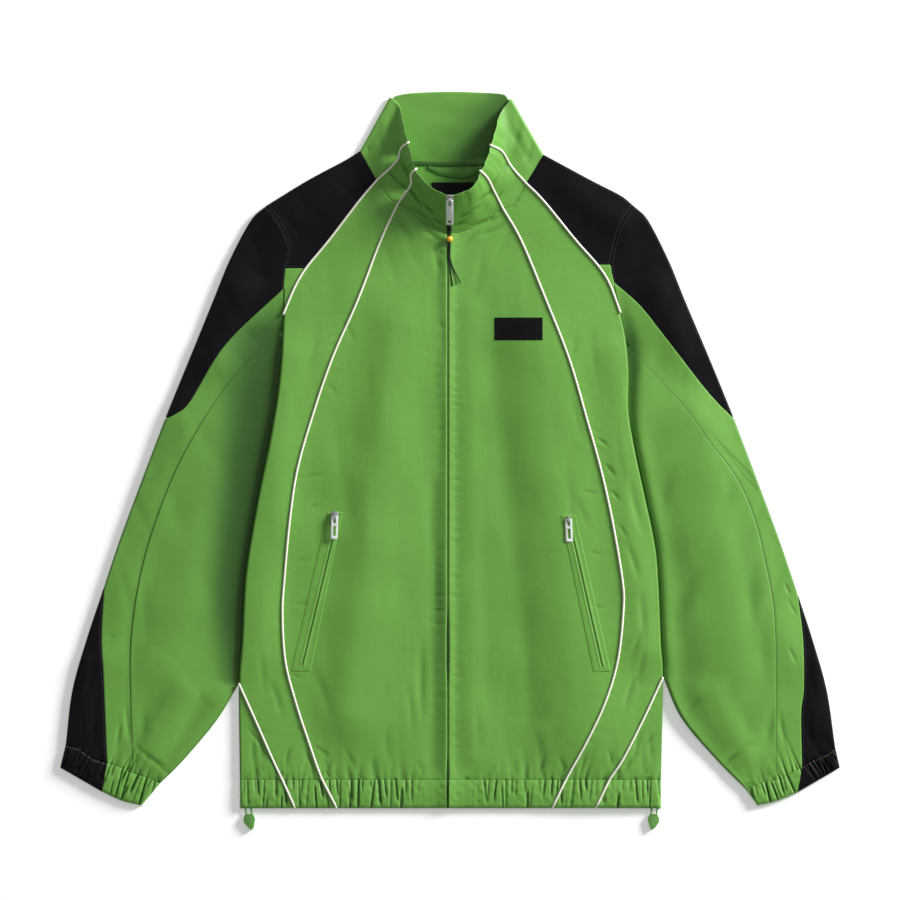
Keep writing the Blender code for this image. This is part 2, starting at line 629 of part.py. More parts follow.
def edge_run(side, start, end, count):
    """count points of the collar's top edge between two of its own points, and how far
    along the whole edge they are."""
    fine = smooth(SEAMS["collar_edge"][side], 400)
    places = np.linspace(0, 1, 400)
    ends = [places[np.argmin(np.sum((fine - np.array(p)) ** 2, axis=1))] for p in (start, end)]
    along = np.linspace(ends[0], ends[1], count)
    return np.stack([np.interp(along, places, fine[:, k]) for k in range(2)], 1), along


def build_collar(side, c):
    """The collar's front pieces; returns the grid and heights of its side piece."""
    tag = "_" + side
    paths = COLLAR_PIPING[side]
    inner = smooth(paths["inner"], COLLAR_ROWS + 1)
    outer = smooth(paths["outer"], COLLAR_ROWS + 1)
    zip_x = c["zip"][0, 0]
    front = np.stack([np.full(COLLAR_ROWS + 1, zip_x),
                      np.linspace(SEAMS["collar_edge"][side][-1][1], c["zip"][0, 1],
                                  COLLAR_ROWS + 1)], axis=1)
    out = {}
    for name, left, right, seam, bulge in (
            ("collar_front", inner, front, c["neck_front"], 1.0),
            ("collar_mid", outer, inner, c["neck_mid"], 1.6)):
        top, along = edge_run(side, left[0], right[0], len(seam))
        grid = inset(coons(top, seam, left, right))
        z = collar_height(grid, along, lie(seam[:, 0], seam[:, 1]), bulge)
        out[name] = np.dstack([grid, z])
        low = np.maximum(np.dstack([grid, z - COLLAR_WALL]), [-1e9, -1e9, BACK_WALL + GAP])
        slab(name + tag, out[name], low, "green nylon")
    fold = smooth([SEAMS["collar_edge"][side][0], c["collar_black"][0]], COLLAR_ROWS + 1)
    top, along = edge_run(side, fold[0], outer[0], len(c["collar_black"]))
    grid = inset(coons(top, c["collar_black"], fold, outer))
    z = collar_height(grid, along, lie(*c["collar_black"].T), 2.2)
    out["collar_side"] = np.dstack([grid, z])
    return out


def build_collar_back(sides):
    """One piece from the left outer piping round the side fold, across the back of the
    neck with its inside up, and round the right fold to the right outer piping."""
    base = smooth(COLLAR_BACK_BASE, 13)
    top = smooth(COLLAR_BACK_TOP, 13)
    back = coons(top, base, smooth([top[0], base[0]], COLLAR_ROWS + 1),
                 smooth([top[-1], base[-1]], COLLAR_ROWS + 1))
    back = inset(back)
    flat = np.zeros(back.shape[:2])
    outer = [np.dstack([back, flat])[:, 1:-1]]
    inner = [np.dstack([back, flat + 2.0])[:, 1:-1]]
    for side, first in (("left", True), ("right", False)):
        face = sides[side]["collar_side"].copy()      # columns from the fold to the piping
        fold = face[:, 0, :2]
        inward = face[:, 1, :2] - fold
        inward /= np.linalg.norm(inward, axis=1)[:, None]
        below = back[:, 1] - back[:, 0] if first else back[:, -2] - back[:, -1]
        below /= np.linalg.norm(below, axis=1)[:, None]
        shoulder = np.dstack([(fold + 3.0 * inward)[:, None], np.full((len(fold), 1), 5.4)])
        rim = np.dstack([fold[:, None], np.full((len(fold), 1), 2.5)])
        under = np.dstack([(fold + 2.6 * below)[:, None], np.zeros((len(fold), 1))])
        face[:, 1:, 2] = np.maximum(face[:, 1:, 2], 5.6)
        out_run = np.concatenate([under, rim, shoulder, face[:, 1:]], axis=1)
        low = face[:, 1:].copy()
        low[..., 2] -= COLLAR_WALL
        in_run = np.concatenate([
            np.dstack([(fold + 4.4 * below)[:, None], np.full((len(fold), 1), 2.0)]),
            np.dstack([(fold + 2.0 * inward)[:, None], np.full((len(fold), 1), 2.45)]),
            np.dstack([(fold + 4.4 * inward)[:, None], np.full((len(fold), 1), 3.0)]),
            low], axis=1)
        if first:
            outer.insert(0, out_run[:, ::-1])
            inner.insert(0, in_run[:, ::-1])
        else:
            outer.append(out_run)
            inner.append(in_run)
    slab("collar_back", np.concatenate(outer, axis=1), np.concatenate(inner, axis=1),
         "green nylon")


# ---------------------------------------------------------------- the back layer
BACK_SEAM_NECK = 58.0    # where the back's raglan seams meet the collar, from the middle


def build_back(curves):
    """Plain flat panels: the body with its hem, two black raglan pieces, two sleeves."""
    base = smooth(COLLAR_BACK_BASE, 200)
    raglan, edges = {}, {}
    for side, sign in (("left", -1), ("right", 1)):
        c = curves[side]
        neck = np.array([sign * BACK_SEAM_NECK,
                         np.interp(sign * BACK_SEAM_NECK, base[:, 0], base[:, 1])])
        tuck = np.array(SEAMS["black_edge"][side][0], float)
        raglan[side] = smooth([neck, (neck + tuck) / 2 + [sign * 6, 4], tuck], 7)
        edges[side] = join(raglan[side], np.vstack([tuck, c["side"][0]]), c["side"], c["hip"],
                           np.array([c["hip"][-1], [c["hip"][-1][0], BOTTOM_Y]]))
        outline = join(smooth(SEAMS["shoulder_edge"][side], 5),
                       smooth(SEAMS["sleeve_edge"][side], 9))
        black = smooth(SEAMS["black_edge"][side], 5)
        neck_run = np.stack([np.linspace(outline[0, 0], neck[0], 5)] * 2, axis=1)
        neck_run[:, 1] = np.interp(neck_run[:, 0], base[:, 0], base[:, 1]) - 3 * GAP
        inner = join(raglan[side], trim(black, end=0.12))
        outer = trim(evened(outline, len(inner)), end=0.12)
        outer[0] = neck_run[0]
        tip = smooth([outer[-1], inner[-1]], 5)
        plate("raglan_back_" + side, "black nylon", coons(neck_run, tip, outer, inner))

        cuff = CUFFS[side]
        outer = join(smooth(SEAMS["forearm_edge"][side], 7), smooth(SEAMS["wrist_edge"][side], 7),
                     smooth([SEAMS["wrist_edge"][side][-1], cuff["black_edge"][0]], 2))
        inner = join(np.vstack([tuck, c["side"][0]]), c["side"],
                     smooth(SEAMS["under_edge"][side], 5),
                     smooth([SEAMS["under_edge"][side][-1], cuff["green_edge"][-1]], 2))
        outer = evened(outer, len(inner))
        edge = join(smooth(cuff["black_edge"], 3), smooth(cuff["green_edge"], 3))
        plate("sleeve_back_" + side, "green nylon", coons(black[::-1], edge, outer, inner))

    neck_run = np.stack([np.linspace(-BACK_SEAM_NECK, BACK_SEAM_NECK, 5)] * 2, axis=1)
    neck_run[:, 1] = np.interp(neck_run[:, 0], base[:, 0], base[:, 1]) - 3 * GAP
    bottom = smooth([edges["left"][-1], edges["right"][-1]], 5)
    plate("back", "green nylon", coons(neck_run, bottom, edges["left"], edges["right"]))


def evened(points, count):
    """A polyline as count points even along its length."""
    along = np.concatenate([[0], np.cumsum(np.linalg.norm(np.diff(points, axis=0), axis=1))])
    at = np.linspace(0, along[-1], count)
    return np.stack([np.interp(at, along, points[:, k]) for k in range(2)], axis=1)


# ---------------------------------------------------------------- piping
def piping(name, body, collar=None, casing=None):
    """A cream tube along a seam: over the collar piece whose outer edge it follows, down
    the panels, and over the hem casing to its edge."""
    lift = PIPING_R + GAP
    path = []
    if collar is not None:
        face = collar[:, 0]
        along = np.gradient(face, axis=0)
        across = collar[:, 1] - collar[:, 0]
        square = np.cross(along, across)
        square *= np.sign(square[:, 2:3])
        square /= np.linalg.norm(square, axis=1)[:, None]
        path.append((face + square * (lift + 0.4))[:-1])
    z = lie(*body.T) + lift + 0.1
    path.append(np.column_stack([body, z]))
    if casing is not None:
        top = face_at(casing, [n for n in FACES if n.startswith("hem_casing")])
        z = np.maximum(top, [top[0], top[1], top[2]]) + lift + 1.0
        path.append(np.column_stack([casing, z])[1:])
    return tube(name, "cream piping", np.vstack(path), PIPING_R)


def build_piping(side, c, collar):
    tag = "_" + side
    seam = SEAMS["inner_piping"][side]
    casing = np.array([seam[-2], (np.array(seam[-2]) + seam[-1]) / 2, seam[-1]], float)
    piping("piping_inner" + tag, c["inner"], collar["collar_front"], casing)
    piping("piping_outer" + tag, c["raglan"], collar["collar_mid"])
    seam = SEAMS["lower_piping"][side]
    casing = np.array([seam[-2], (np.array(seam[-2]) + seam[-1]) / 2, seam[-1]], float)
    piping("piping_lower" + tag, c["lower"], None, casing)


# ---------------------------------------------------------------- zips
def build_main_zip(c, collar):
    """The closed zip under the front edges, with its teeth raised between them."""
    rows = c["zip"][:, 1]
    face = collar["collar_front"][:, -1]
    y = np.concatenate([face[:-1, 1], rows, [HEM_Y - 17]])
    z = np.concatenate([face[:-1, 2], lie(np.full(len(rows), ZIP_X), rows), [LIE]])
    depth = np.full(len(y), WALL + 0.5)
    depth[:len(face)] = COLLAR_WALL + 1.8
    depth[len(face) - 2:len(face)] = COLLAR_WALL + np.array([3.0, 0.8])
    depth[-2:] = WALL + 1.1
    teeth = np.full(len(y), 0.5)
    teeth[:len(face)] = 0.9
    across = np.array([-3.4, -0.9, -0.8, 0.8, 0.9, 3.4])
    raised = np.array([0, 0, 1, 1, 0, 0])
    x = ZIP_X + np.tile(across, (len(y), 1))
    top = z[:, None] - np.where(raised, teeth[:, None], depth[:, None])
    bottom = np.maximum(z - depth - 1.0, FLOOR)[:, None] + 0 * x
    yy = np.tile(y[:, None], (1, len(across)))
    slab("main_zip", np.dstack([x, yy, top]), np.dstack([x, yy, bottom]), "zip tape")


def extruded(outline, low, high, axis=2):
    """Points and faces of a prism on a plan outline; axis is the one it rises along."""
    n = len(outline)
    flat = np.array(outline, float)
    order = {2: (0, 1, 2), 0: (1, 2, 0)}[axis]
    verts = np.zeros((2 * n, 3))
    for part, level in ((0, low), (n, high)):
        verts[part:part + n, order[0]] = flat[:, 0]
        verts[part:part + n, order[1]] = flat[:, 1]
        verts[part:part + n, order[2]] = level
    faces = [list(range(n))[::-1], list(range(n, 2 * n))]
    faces += [[i, (i + 1) % n, n + (i + 1) % n, n + i] for i in range(n)]
    return verts, faces


def boolean(obj, verts, faces, operation, matrix):
    """Adds to, or cuts from, an object a prism given in its own millimetre frame."""
    mesh = bpy.data.meshes.new(obj.name + "_tool")
    mesh.from_pydata((np.array(verts) * MM).tolist(), [], faces)
    tool = bpy.data.objects.new(obj.name + "_tool", mesh)
    bpy.context.scene.collection.objects.link(tool)
    tool.matrix_world = matrix
    tool.hide_render = True
    tool.display_type = "WIRE"
    mod = obj.modifiers.new(operation.lower(), "BOOLEAN")
    mod.operation = operation
    mod.solver = "EXACT"
    mod.object = tool


SLIDER = dict(half_width=4.3, tail=5.0, nose=5.6, plate=1.6, drop=1.3)
ARCH = dict(half_width=1.0, reach=3.4, bar=1.0, rise=1.3, top=2.2)
PULL_THICK, PULL_BAR = 1.4, 0.65


def slider_frame(at, heading, tilt):
    """Local frame at a hinge: y along the zip to its top end, z off the cloth."""
    turn = Matrix.Rotation(heading, 4, "Z") @ Matrix.Rotation(tilt, 4, "X")
    return Matrix.Translation(Vector(at) * MM) @ turn


def build_slider(name, at, heading, tilt):
    """A zip slider: a tapered plate and the arch over its hinge."""
    s, a = SLIDER, ARCH
    w = s["half_width"]
    outline = [(-w, s["nose"] - 2), (-w * 0.75, -s["tail"]), (w * 0.75, -s["tail"]),
               (w, s["nose"] - 2), (w * 0.55, s["nose"]), (-w * 0.55, s["nose"])]
    verts, faces = extruded(outline, -s["drop"] - s["plate"], -s["drop"])
    obj = make_object(name, verts, faces, "zip metal")
    frame = slider_frame(at, heading, tilt)
    obj.matrix_world = frame
    foot = -s["drop"] - 0.6
    profile = [(-a["reach"], foot), (-a["reach"], a["rise"] - 0.4),
               (-a["reach"] + 1.2, a["top"]), (a["reach"] - 1.2, a["top"]),
               (a["reach"], a["rise"] - 0.4), (a["reach"], foot),
               (a["reach"] - a["bar"], foot), (a["reach"] - a["bar"], a["rise"] - 0.2),
               (a["reach"] - a["bar"] - 0.4, a["rise"]),
               (-a["reach"] + a["bar"] + 0.4, a["rise"]),
               (-a["reach"] + a["bar"], a["rise"] - 0.2), (-a["reach"] + a["bar"], foot)]
    verts, faces = extruded(profile[::-1], -a["half_width"], a["half_width"], axis=0)
    boolean(obj, verts, faces, "UNION", frame)
    return obj


def build_pull(name, at, heading, tilt, length, half_width, slot):
    """A pull tab hinged on the slider's arch; its origin is on the hinge. The eye clears
    the arch and the slot at the free end takes a cord."""
    corner = 1.0
    w = half_width
    outline = [(-w + corner, PULL_BAR), (-w, PULL_BAR - corner), (-w, -length + corner),
               (-w + corner, -length), (w - corner, -length), (w, -length + corner),
               (w, PULL_BAR - corner), (w - corner, PULL_BAR)]
    verts, faces = extruded(outline, -PULL_THICK / 2, PULL_THICK / 2)
    obj = make_object(name, verts, faces, "zip metal")
    frame = slider_frame(at, heading, tilt)
    obj.matrix_world = frame
    eye = [(-1.5, -PULL_BAR), (-1.5, -7.4), (1.5, -7.4), (1.5, -PULL_BAR)]
    hole = [(-slot[0], -slot[1]), (-slot[0], -slot[2]), (slot[0], -slot[2]), (slot[0], -slot[1])]
    for ring in (eye, hole):
        verts, faces = extruded(ring, -PULL_THICK, PULL_THICK)
        boolean(obj, verts, faces, "DIFFERENCE", frame)
    return obj


POCKETS = {   # the welt's long edges and slit, each from the top down
    "left": dict(outer=[(-132.5, -67), (-171.5, -239)], inner=[(-116, -67), (-150.5, -239)],
                 slit=[(-126.9, -95), (-159.5, -231)], slider=(-124.4, -71.5), heading=-1.5),
    "right": dict(outer=[(135.5, -70), (173.5, -239)], inner=[(119.5, -70), (154.5, -239)],
                  slit=[(133.0, -97), (163.6, -232)], slider=(127.6, -74.5), heading=2.5)}
WELT = 1.1
POCKET_PULL = dict(length=24.5, half_width=3.8, slot=(1.5, 10.5, 21.0))
MAIN_PULL = dict(length=33.0, half_width=4.0, slot=(1.8, 27.0, 31.0))


def build_pocket(side):
    """A pocket's welt, laid on the front panel with its slit as a groove, and its slider
    and pull tab at the slit's top end."""
    p = POCKETS[side]
    rows = 9
    outer, inner = smooth(p["outer"], rows), smooth(p["inner"], rows)
    slit_y = np.linspace(p["slit"][0][1], p["slit"][1][1], rows - 2)
    slit = np.stack([np.interp(slit_y, [p["slit"][1][1], p["slit"][0][1]],
                               [p["slit"][1][0], p["slit"][0][0]]), slit_y], 1)
    sign = -1 if side == "left" else 1
    for edge in (outer, inner):
        edge[1:-1, 0] = np.interp(slit_y, edge[[-1, 0], 1], edge[[-1, 0], 0])
        edge[1:-1, 1] = slit_y
    middle = np.vstack([(outer[0] + inner[0]) / 2 + [sign * 1.5, 0], slit,
                        slit[-1] + (slit[-1] - slit[0]) * 0.06])
    middle[-1, 1] = outer[-1, 1]
    side_step = np.array([sign * 0.8, 0])
    grid = np.stack([outer, middle + side_step, middle + side_step * 0.6,
                     middle - side_step * 0.6, middle - side_step, inner], axis=1)
    z = laid_on(grid, ["front_centre_" + side])
    top = z + WELT
    top[1:-1, 2:4] -= 0.6
    slab("pocket_welt_" + side, np.dstack([grid, top]), np.dstack([grid, z]), "green nylon")
    reach = np.array([[-5.0, 6.0], [5.0, 6.0], [-5.0, -6.0], [5.0, -6.0]])
    here = np.array(p["slider"]) + reach
    high = face_at(here, ["pocket_welt_" + side, "front_centre_" + side]).max()
    at = (*p["slider"], high + GAP + SLIDER["plate"] + SLIDER["drop"])
    heading = math.radians(p["heading"])
    build_slider("pocket_slider_" + side, at, heading, 0)
    build_pull("pocket_pull_" + side, at, heading, 0, **POCKET_PULL)


# ---------------------------------------------------------------- main pull and its cord
SLIDER_Y = 270.5
CORD_R = 0.65
BEAD = dict(radius=3.7, bore=1.75, y=227.7, x=-0.5)
KNOT = dict(radius=2.5, bore=1.75, length=4.4)
CORD_PLAN = [  # x, y, height over what is below it; the strands part after the last row
    (-0.4, 241.7, 5.4), (-0.4, 238.4, 4.6), (-0.4, 234.4, 4.4), (-0.5, 227.7, 3.9),
    (-0.8, 218.0, 1.2), (-0.9, 208.0, 1.0)]
STRAND_ENDS = {"a": [(-0.2, 199.0), (1.2, 188.0), (2.9, 177.0)],
               "b": [(2.2, 199.5), (6.4, 190.0), (11.0, 180.5)]}


def build_main_pull(collar):
    """The zip's top slider on the slope of the collar, and its pull tab."""
    face = collar["left"]["collar_front"][:, -1]
    slope = math.atan2(face[0, 2] - face[2, 2], face[0, 1] - face[2, 1])
    z = np.interp(SLIDER_Y, face[::-1, 1], face[::-1, 2])
    off = (GAP + 0.5 + SLIDER["plate"] + SLIDER["drop"])
    at = (ZIP_X + 2.0, SLIDER_Y - off * math.sin(slope), z + off * math.cos(slope))
    build_slider("main_slider", at, 0, slope)
    build_pull("main_pull", at, 0, slope, **MAIN_PULL)
    return at, slope


def turned(name, color, profile, at, heading, sides=10):
    """A ring turned from a closed profile of (radius, along) points, its axis along
    heading."""
    a = 2 * np.pi * np.arange(sides) / sides
    n = len(profile)
    rings = np.array([[(r * math.cos(t), r * math.sin(t), s) for r, s in profile] for t in a])
    faces = []
    for k in range(sides):
        m = (k + 1) % sides
        faces += [[k * n + i, m * n + i, m * n + (i + 1) % n, k * n + (i + 1) % n]
                  for i in range(n)]
    turn = Vector(heading).normalized().to_track_quat("Z", "Y").to_matrix()
    verts = rings.reshape(-1, 3) @ np.array(turn).T + np.array(at)
    a0, b0, c0 = (np.array([verts[f[k]] for f in faces]) for k in range(3))
    d0 = np.array([verts[f[3]] for f in faces])
    if np.sum(np.cross(a0, b0) * c0) + np.sum(np.cross(a0, c0) * d0) < 0:
        faces = [f[::-1] for f in faces]
    return make_object(name, verts, faces, color, smooth_below=50)


def curve_tube(name, color, points, radius, count):
    """A cord as a curve object with a round bevel, through smooth points of its route."""
    route = smooth3(points, count)
    curve = bpy.data.curves.new(name, "CURVE")
    curve.dimensions = "3D"
    curve.bevel_depth = radius * MM
    curve.bevel_resolution = 2
    curve.use_fill_caps = True
    spline = curve.splines.new("POLY")
    spline.points.add(len(route) - 1)
    spline.points.foreach_set("co", np.column_stack([route * MM, np.ones(len(route))]).ravel())
    obj = bpy.data.objects.new(name, curve)
    bpy.context.scene.collection.objects.link(obj)
    curve.materials.append(own_material(name, color))
    return obj


def smooth3(points, count):
    """A Catmull-Rom curve through points in space, even along its length."""
    p = np.array(points, float)
    p = np.vstack([2 * p[0] - p[1], p, 2 * p[-1] - p[-2]])
    t = np.linspace(0, 1, 20, endpoint=False)[:, None]
    runs = [0.5 * (2 * b + (c - a) * t + (2 * a - 5 * b + 4 * c - d) * t ** 2
                   + (3 * b - a - 3 * c + d) * t ** 3)
            for a, b, c, d in zip(p, p[1:], p[2:], p[3:])]
    fine = np.vstack(runs + [p[-2:-1]])
    along = np.concatenate([[0], np.cumsum(np.linalg.norm(np.diff(fine, axis=0), axis=1))])
    at = np.linspace(0, along[-1], count)
    return np.stack([np.interp(at, along, fine[:, k]) for k in range(3)], axis=1)


def build_pull_cord():
    """Two strands of one doubled cord from the pull tab's slot, through a knot and a bead,
    lying on the chest with free ends."""
    under = [n for n in FACES if n.startswith(("front_centre", "collar_front", "main_zip"))]
    plan = np.array(CORD_PLAN)
    z = face_at(plan[:, :2], under) + plan[:, 2] + CORD_R
    trunk = np.column_stack([plan[:, :2], z])
    for strand, sign in (("a", -1), ("b", 1)):
        ends = np.array(STRAND_ENDS[strand])
        free = np.column_stack([ends, face_at(ends, under) + GAP + 0.5 + CORD_R])
        shift = np.array([sign * (CORD_R + 0.18), 0, 0])
        curve_tube("pull_cord_" + strand, "black cord", np.vstack([trunk + shift, free]),
                   CORD_R, 26)
    k, b = KNOT, BEAD
    half = k["length"] / 2
    ring = [(k["bore"], -half), (k["radius"] - 0.5, -half), (k["radius"], -half + 0.8),
            (k["radius"], half - 0.8), (k["radius"] - 0.5, half), (k["bore"], half)]
    heading = trunk[2] - trunk[0]
    turned("pull_knot", "black cord", ring, trunk[1] + [0, -0.2, 0], heading)
    rise = [math.radians(a) for a in (-58, -35, -12, 12, 35, 58)]
    ball = [(b["radius"] * math.cos(a), b["radius"] * math.sin(a)) for a in rise]
    ball = [(b["bore"], ball[0][1])] + ball + [(b["bore"], ball[-1][1])]
    turned("pull_bead", "yellow bead", ball, trunk[3], trunk[4] - trunk[2])


# ---------------------------------------------------------------- hem cords and tabs
HEM_CORD_R = 0.9
TAB = dict(width=12.6, length=17.5, thick=4.4, top=-393.0)


def build_hem_cord(side):
    """The drawcord's loop: out of the casing's lower edge, into the tab and back."""
    x_a, x_b = CORD_X[side]
    middle = (x_a + x_b) / 2
    lean = 1.0 if side == "left" else -1.0
    inside, low = 2.45, 2.2
    half = 2.6
    turn = [(middle + lean + half * math.cos(a), TAB["top"] - 2.2 + half * math.sin(a), low)
            for a in np.radians([180, 225, 270, 315, 360])]
    route = ([(x_a, -368.0, inside), (x_a, -378.0, inside), (x_a + 0.2, -387.0, inside)]
             + turn + [(x_b - 0.2, -387.0, inside), (x_b, -378.0, inside), (x_b, -368.0, inside)])
    curve_tube("hem_cord_" + side, "green cord", route, HEM_CORD_R, 24)

    w, top = TAB["width"] / 2, TAB["top"]
    tip = top - TAB["length"]
    centre = middle + lean
    outline = [(centre - w * 0.62, top), (centre - w, top - 5), (centre - w * 0.86, top - 9.5),
               (centre - w * 0.3 + lean * 1.6, tip + 2.2), (centre + lean * 2.6, tip),
               (centre + w * 0.5 + lean * 1.6, tip + 2.6), (centre + w * 0.92, top - 9),
               (centre + w, top - 5), (centre + w * 0.62, top)]
    verts, faces = extruded(outline, 0.0, TAB["thick"])
    obj = make_object("hem_tab_" + side, verts, faces, "green rubber")
    r = half + HEM_CORD_R + 0.45
    mouth = [(centre - r, top + 2), (centre - r, top - 2.2 - r), (centre + r, top - 2.2 - r),
             (centre + r, top + 2)]
    room = HEM_CORD_R + 0.3
    verts, faces = extruded(mouth, low - room, low + room)
    boolean(obj, verts, faces, "DIFFERENCE", Matrix.Identity(4))


# ---------------------------------------------------------------- patch, label, hanger loop
PATCH = dict(x=(48.0, 100.0), y=(118.5, 143.0), wall=1.0)
LABEL = dict(x=(-20.0, 25.0), y=(262.0, 289.0), wall=0.8)
HANGER = dict(width=4.6, wall=1.2,
              path=[(-24, 305.5), (-10, 299), (6, 296), (20, 296.5), (34, 305.5)])


def build_trims():
    p = PATCH
    x, y = np.meshgrid(np.linspace(*p["x"], 6), np.linspace(p["y"][1], p["y"][0], 4))
    grid = np.dstack([x, y])
    z = laid_on(grid, ["front_centre_right"])
    slab("chest_patch", np.dstack([grid, z + p["wall"]]), np.dstack([grid, z]), "black nylon")

    b = LABEL
    x, y = np.meshgrid(np.linspace(*b["x"], 3), np.linspace(b["y"][1], b["y"][0], 3))
    low = np.full(x.shape, BACK_WALL + GAP)
    slab("neck_label", np.dstack([x, y, low + b["wall"]]), np.dstack([x, y, low]),
         "black nylon")

    h = HANGER
    path = smooth(h["path"], 13)
    along = np.gradient(path, axis=0)
    square = np.stack([-along[:, 1], along[:, 0]], 1) / np.linalg.norm(along, axis=1)[:, None]
    grid = np.stack([path + square * h["width"] / 2, path - square * h["width"] / 2])
    low = np.full(grid.shape[:2], BACK_WALL + GAP)
    slab("hanger_loop", np.dstack([grid, low + h["wall"]]), np.dstack([grid, low]),
         "green nylon")


# ---------------------------------------------------------------- the jacket
curves, collars = {}, {}
for side in ("left", "right"):
    curves[side] = build_body(side)
    build_sleeve(side, curves[side])
    build_hem(side, curves[side])
    build_cuff(side)
    collars[side] = build_collar(side, curves[side])
build_collar_back(collars)
build_back(curves)
for side in ("left", "right"):
    build_piping(side, curves[side], collars[side])
build_main_zip(curves["left"], collars["left"])
build_main_pull(collars)
build_pull_cord()
for side in ("left", "right"):
    build_pocket(side)
    build_hem_cord(side)
build_trims()
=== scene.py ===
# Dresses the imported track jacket: nylon panels with their creases, gathered casings, piping,
# zips, cords and trims, laid flat on a white table and seen from straight above.
# Places in the tables are millimetres: +x to the right, +y to the collar, z up from the table.
# "left" and "right" are the picture's sides. The meshes are in metres, in the model's own frame.
import math

import bmesh
import bpy
import numpy as np
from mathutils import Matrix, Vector


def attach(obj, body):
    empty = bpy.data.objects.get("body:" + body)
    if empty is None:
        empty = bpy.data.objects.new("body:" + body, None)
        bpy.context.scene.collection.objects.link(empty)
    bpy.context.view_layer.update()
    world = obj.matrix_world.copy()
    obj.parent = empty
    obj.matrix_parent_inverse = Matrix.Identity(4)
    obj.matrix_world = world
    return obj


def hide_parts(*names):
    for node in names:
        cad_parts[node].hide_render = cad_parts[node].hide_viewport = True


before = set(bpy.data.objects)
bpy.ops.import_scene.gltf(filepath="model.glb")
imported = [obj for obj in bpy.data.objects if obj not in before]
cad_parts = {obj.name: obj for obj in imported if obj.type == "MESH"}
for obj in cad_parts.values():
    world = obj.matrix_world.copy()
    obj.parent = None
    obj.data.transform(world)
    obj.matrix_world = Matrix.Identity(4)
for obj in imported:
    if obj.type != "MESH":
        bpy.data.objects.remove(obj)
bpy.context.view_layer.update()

mm = 0.001
sides = ("left", "right")
signOf = {"left": -1, "right": 1}

view = dict(distance=9.0, frameWidth=0.972, sensor=36.0, clipEnd=40.0)
studio = dict(
    tableSize=9.0, tableDrop=0.0006, tableTone=0.93, tableRough=0.9, tableGlow=0.28,
    keyFrom=(5.5, 3.6, 2.45), keySize=2.3, keyPower=905.0,
    fillFrom=(0.0, 1.4, 3.2), fillSize=3.6, fillPower=20.0,
    worldStrength=0.2)


def addObject(name, data):
    made = bpy.data.objects.new(name, data)
    bpy.context.scene.collection.objects.link(made)
    return made


def setInputs(node, values):
    for key, value in values.items():
        node.inputs[key].default_value = value


def setCamera(v):
    # straight down on the middle of the garment, far off, so that the raised collar doesn't spread
    data = bpy.data.cameras.new("overhead")
    data.sensor_width = v["sensor"]
    data.lens = v["sensor"] * v["distance"] / v["frameWidth"]
    data.clip_end = v["clipEnd"]
    eye = addObject("overhead", data)
    eye.location = (0, 0, v["distance"])
    bpy.context.scene.camera = eye


def areaLight(name, place, size, power):
    data = bpy.data.lights.new(name, "AREA")
    data.size = size
    data.energy = power
    lamp = addObject(name, data)
    lamp.location = place
    lamp.rotation_euler = Vector(place).to_track_quat("Z", "Y").to_euler()


def setStudio(s):
    areaLight("keyWindow", s["keyFrom"], s["keySize"], s["keyPower"])
    areaLight("fillSheet", s["fillFrom"], s["fillSize"], s["fillPower"])
    world = bpy.data.worlds.new("paleRoom")
    world.use_nodes = True
    setInputs(world.node_tree.nodes["Background"], {"Color": (1, 1, 1, 1), "Strength": s["worldStrength"]})
    bpy.context.scene.world = world
    bpy.context.scene.view_settings.view_transform = "Standard"
    half = s["tableSize"] / 2
    corners = [(x * half, y * half, -s["tableDrop"]) for x, y in ((-1, -1), (1, -1), (1, 1), (-1, 1))]
    mesh = bpy.data.meshes.new("table")
    mesh.from_pydata(corners, [], [(0, 1, 2, 3)])
    paint = bpy.data.materials.new("tablePaper")
    paint.use_nodes = True
    setInputs(paint.node_tree.nodes["Principled BSDF"],
              {"Base Color": (*[s["tableTone"]] * 3, 1), "Roughness": s["tableRough"],
               "Emission Color": (1, 1, 1, 1), "Emission Strength": s["tableGlow"]})
    mesh.materials.append(paint)
    addObject("table", mesh)


setCamera(view)
setStudio(studio)
print("camera, table and light are set")

cloth = dict(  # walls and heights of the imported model, with the grid's pitch on the panels
    wall=1.4, backWall=1.2, collarWall=2.4, thinnest=0.25, floor=1.5, lie=5.8, foldTop=1.95, tuck=2.95,
    gap=0.3, pitch=1.7, hemY=-356.0, bottomY=-387.0, zipX=-2.4, zipHalf=1.2)

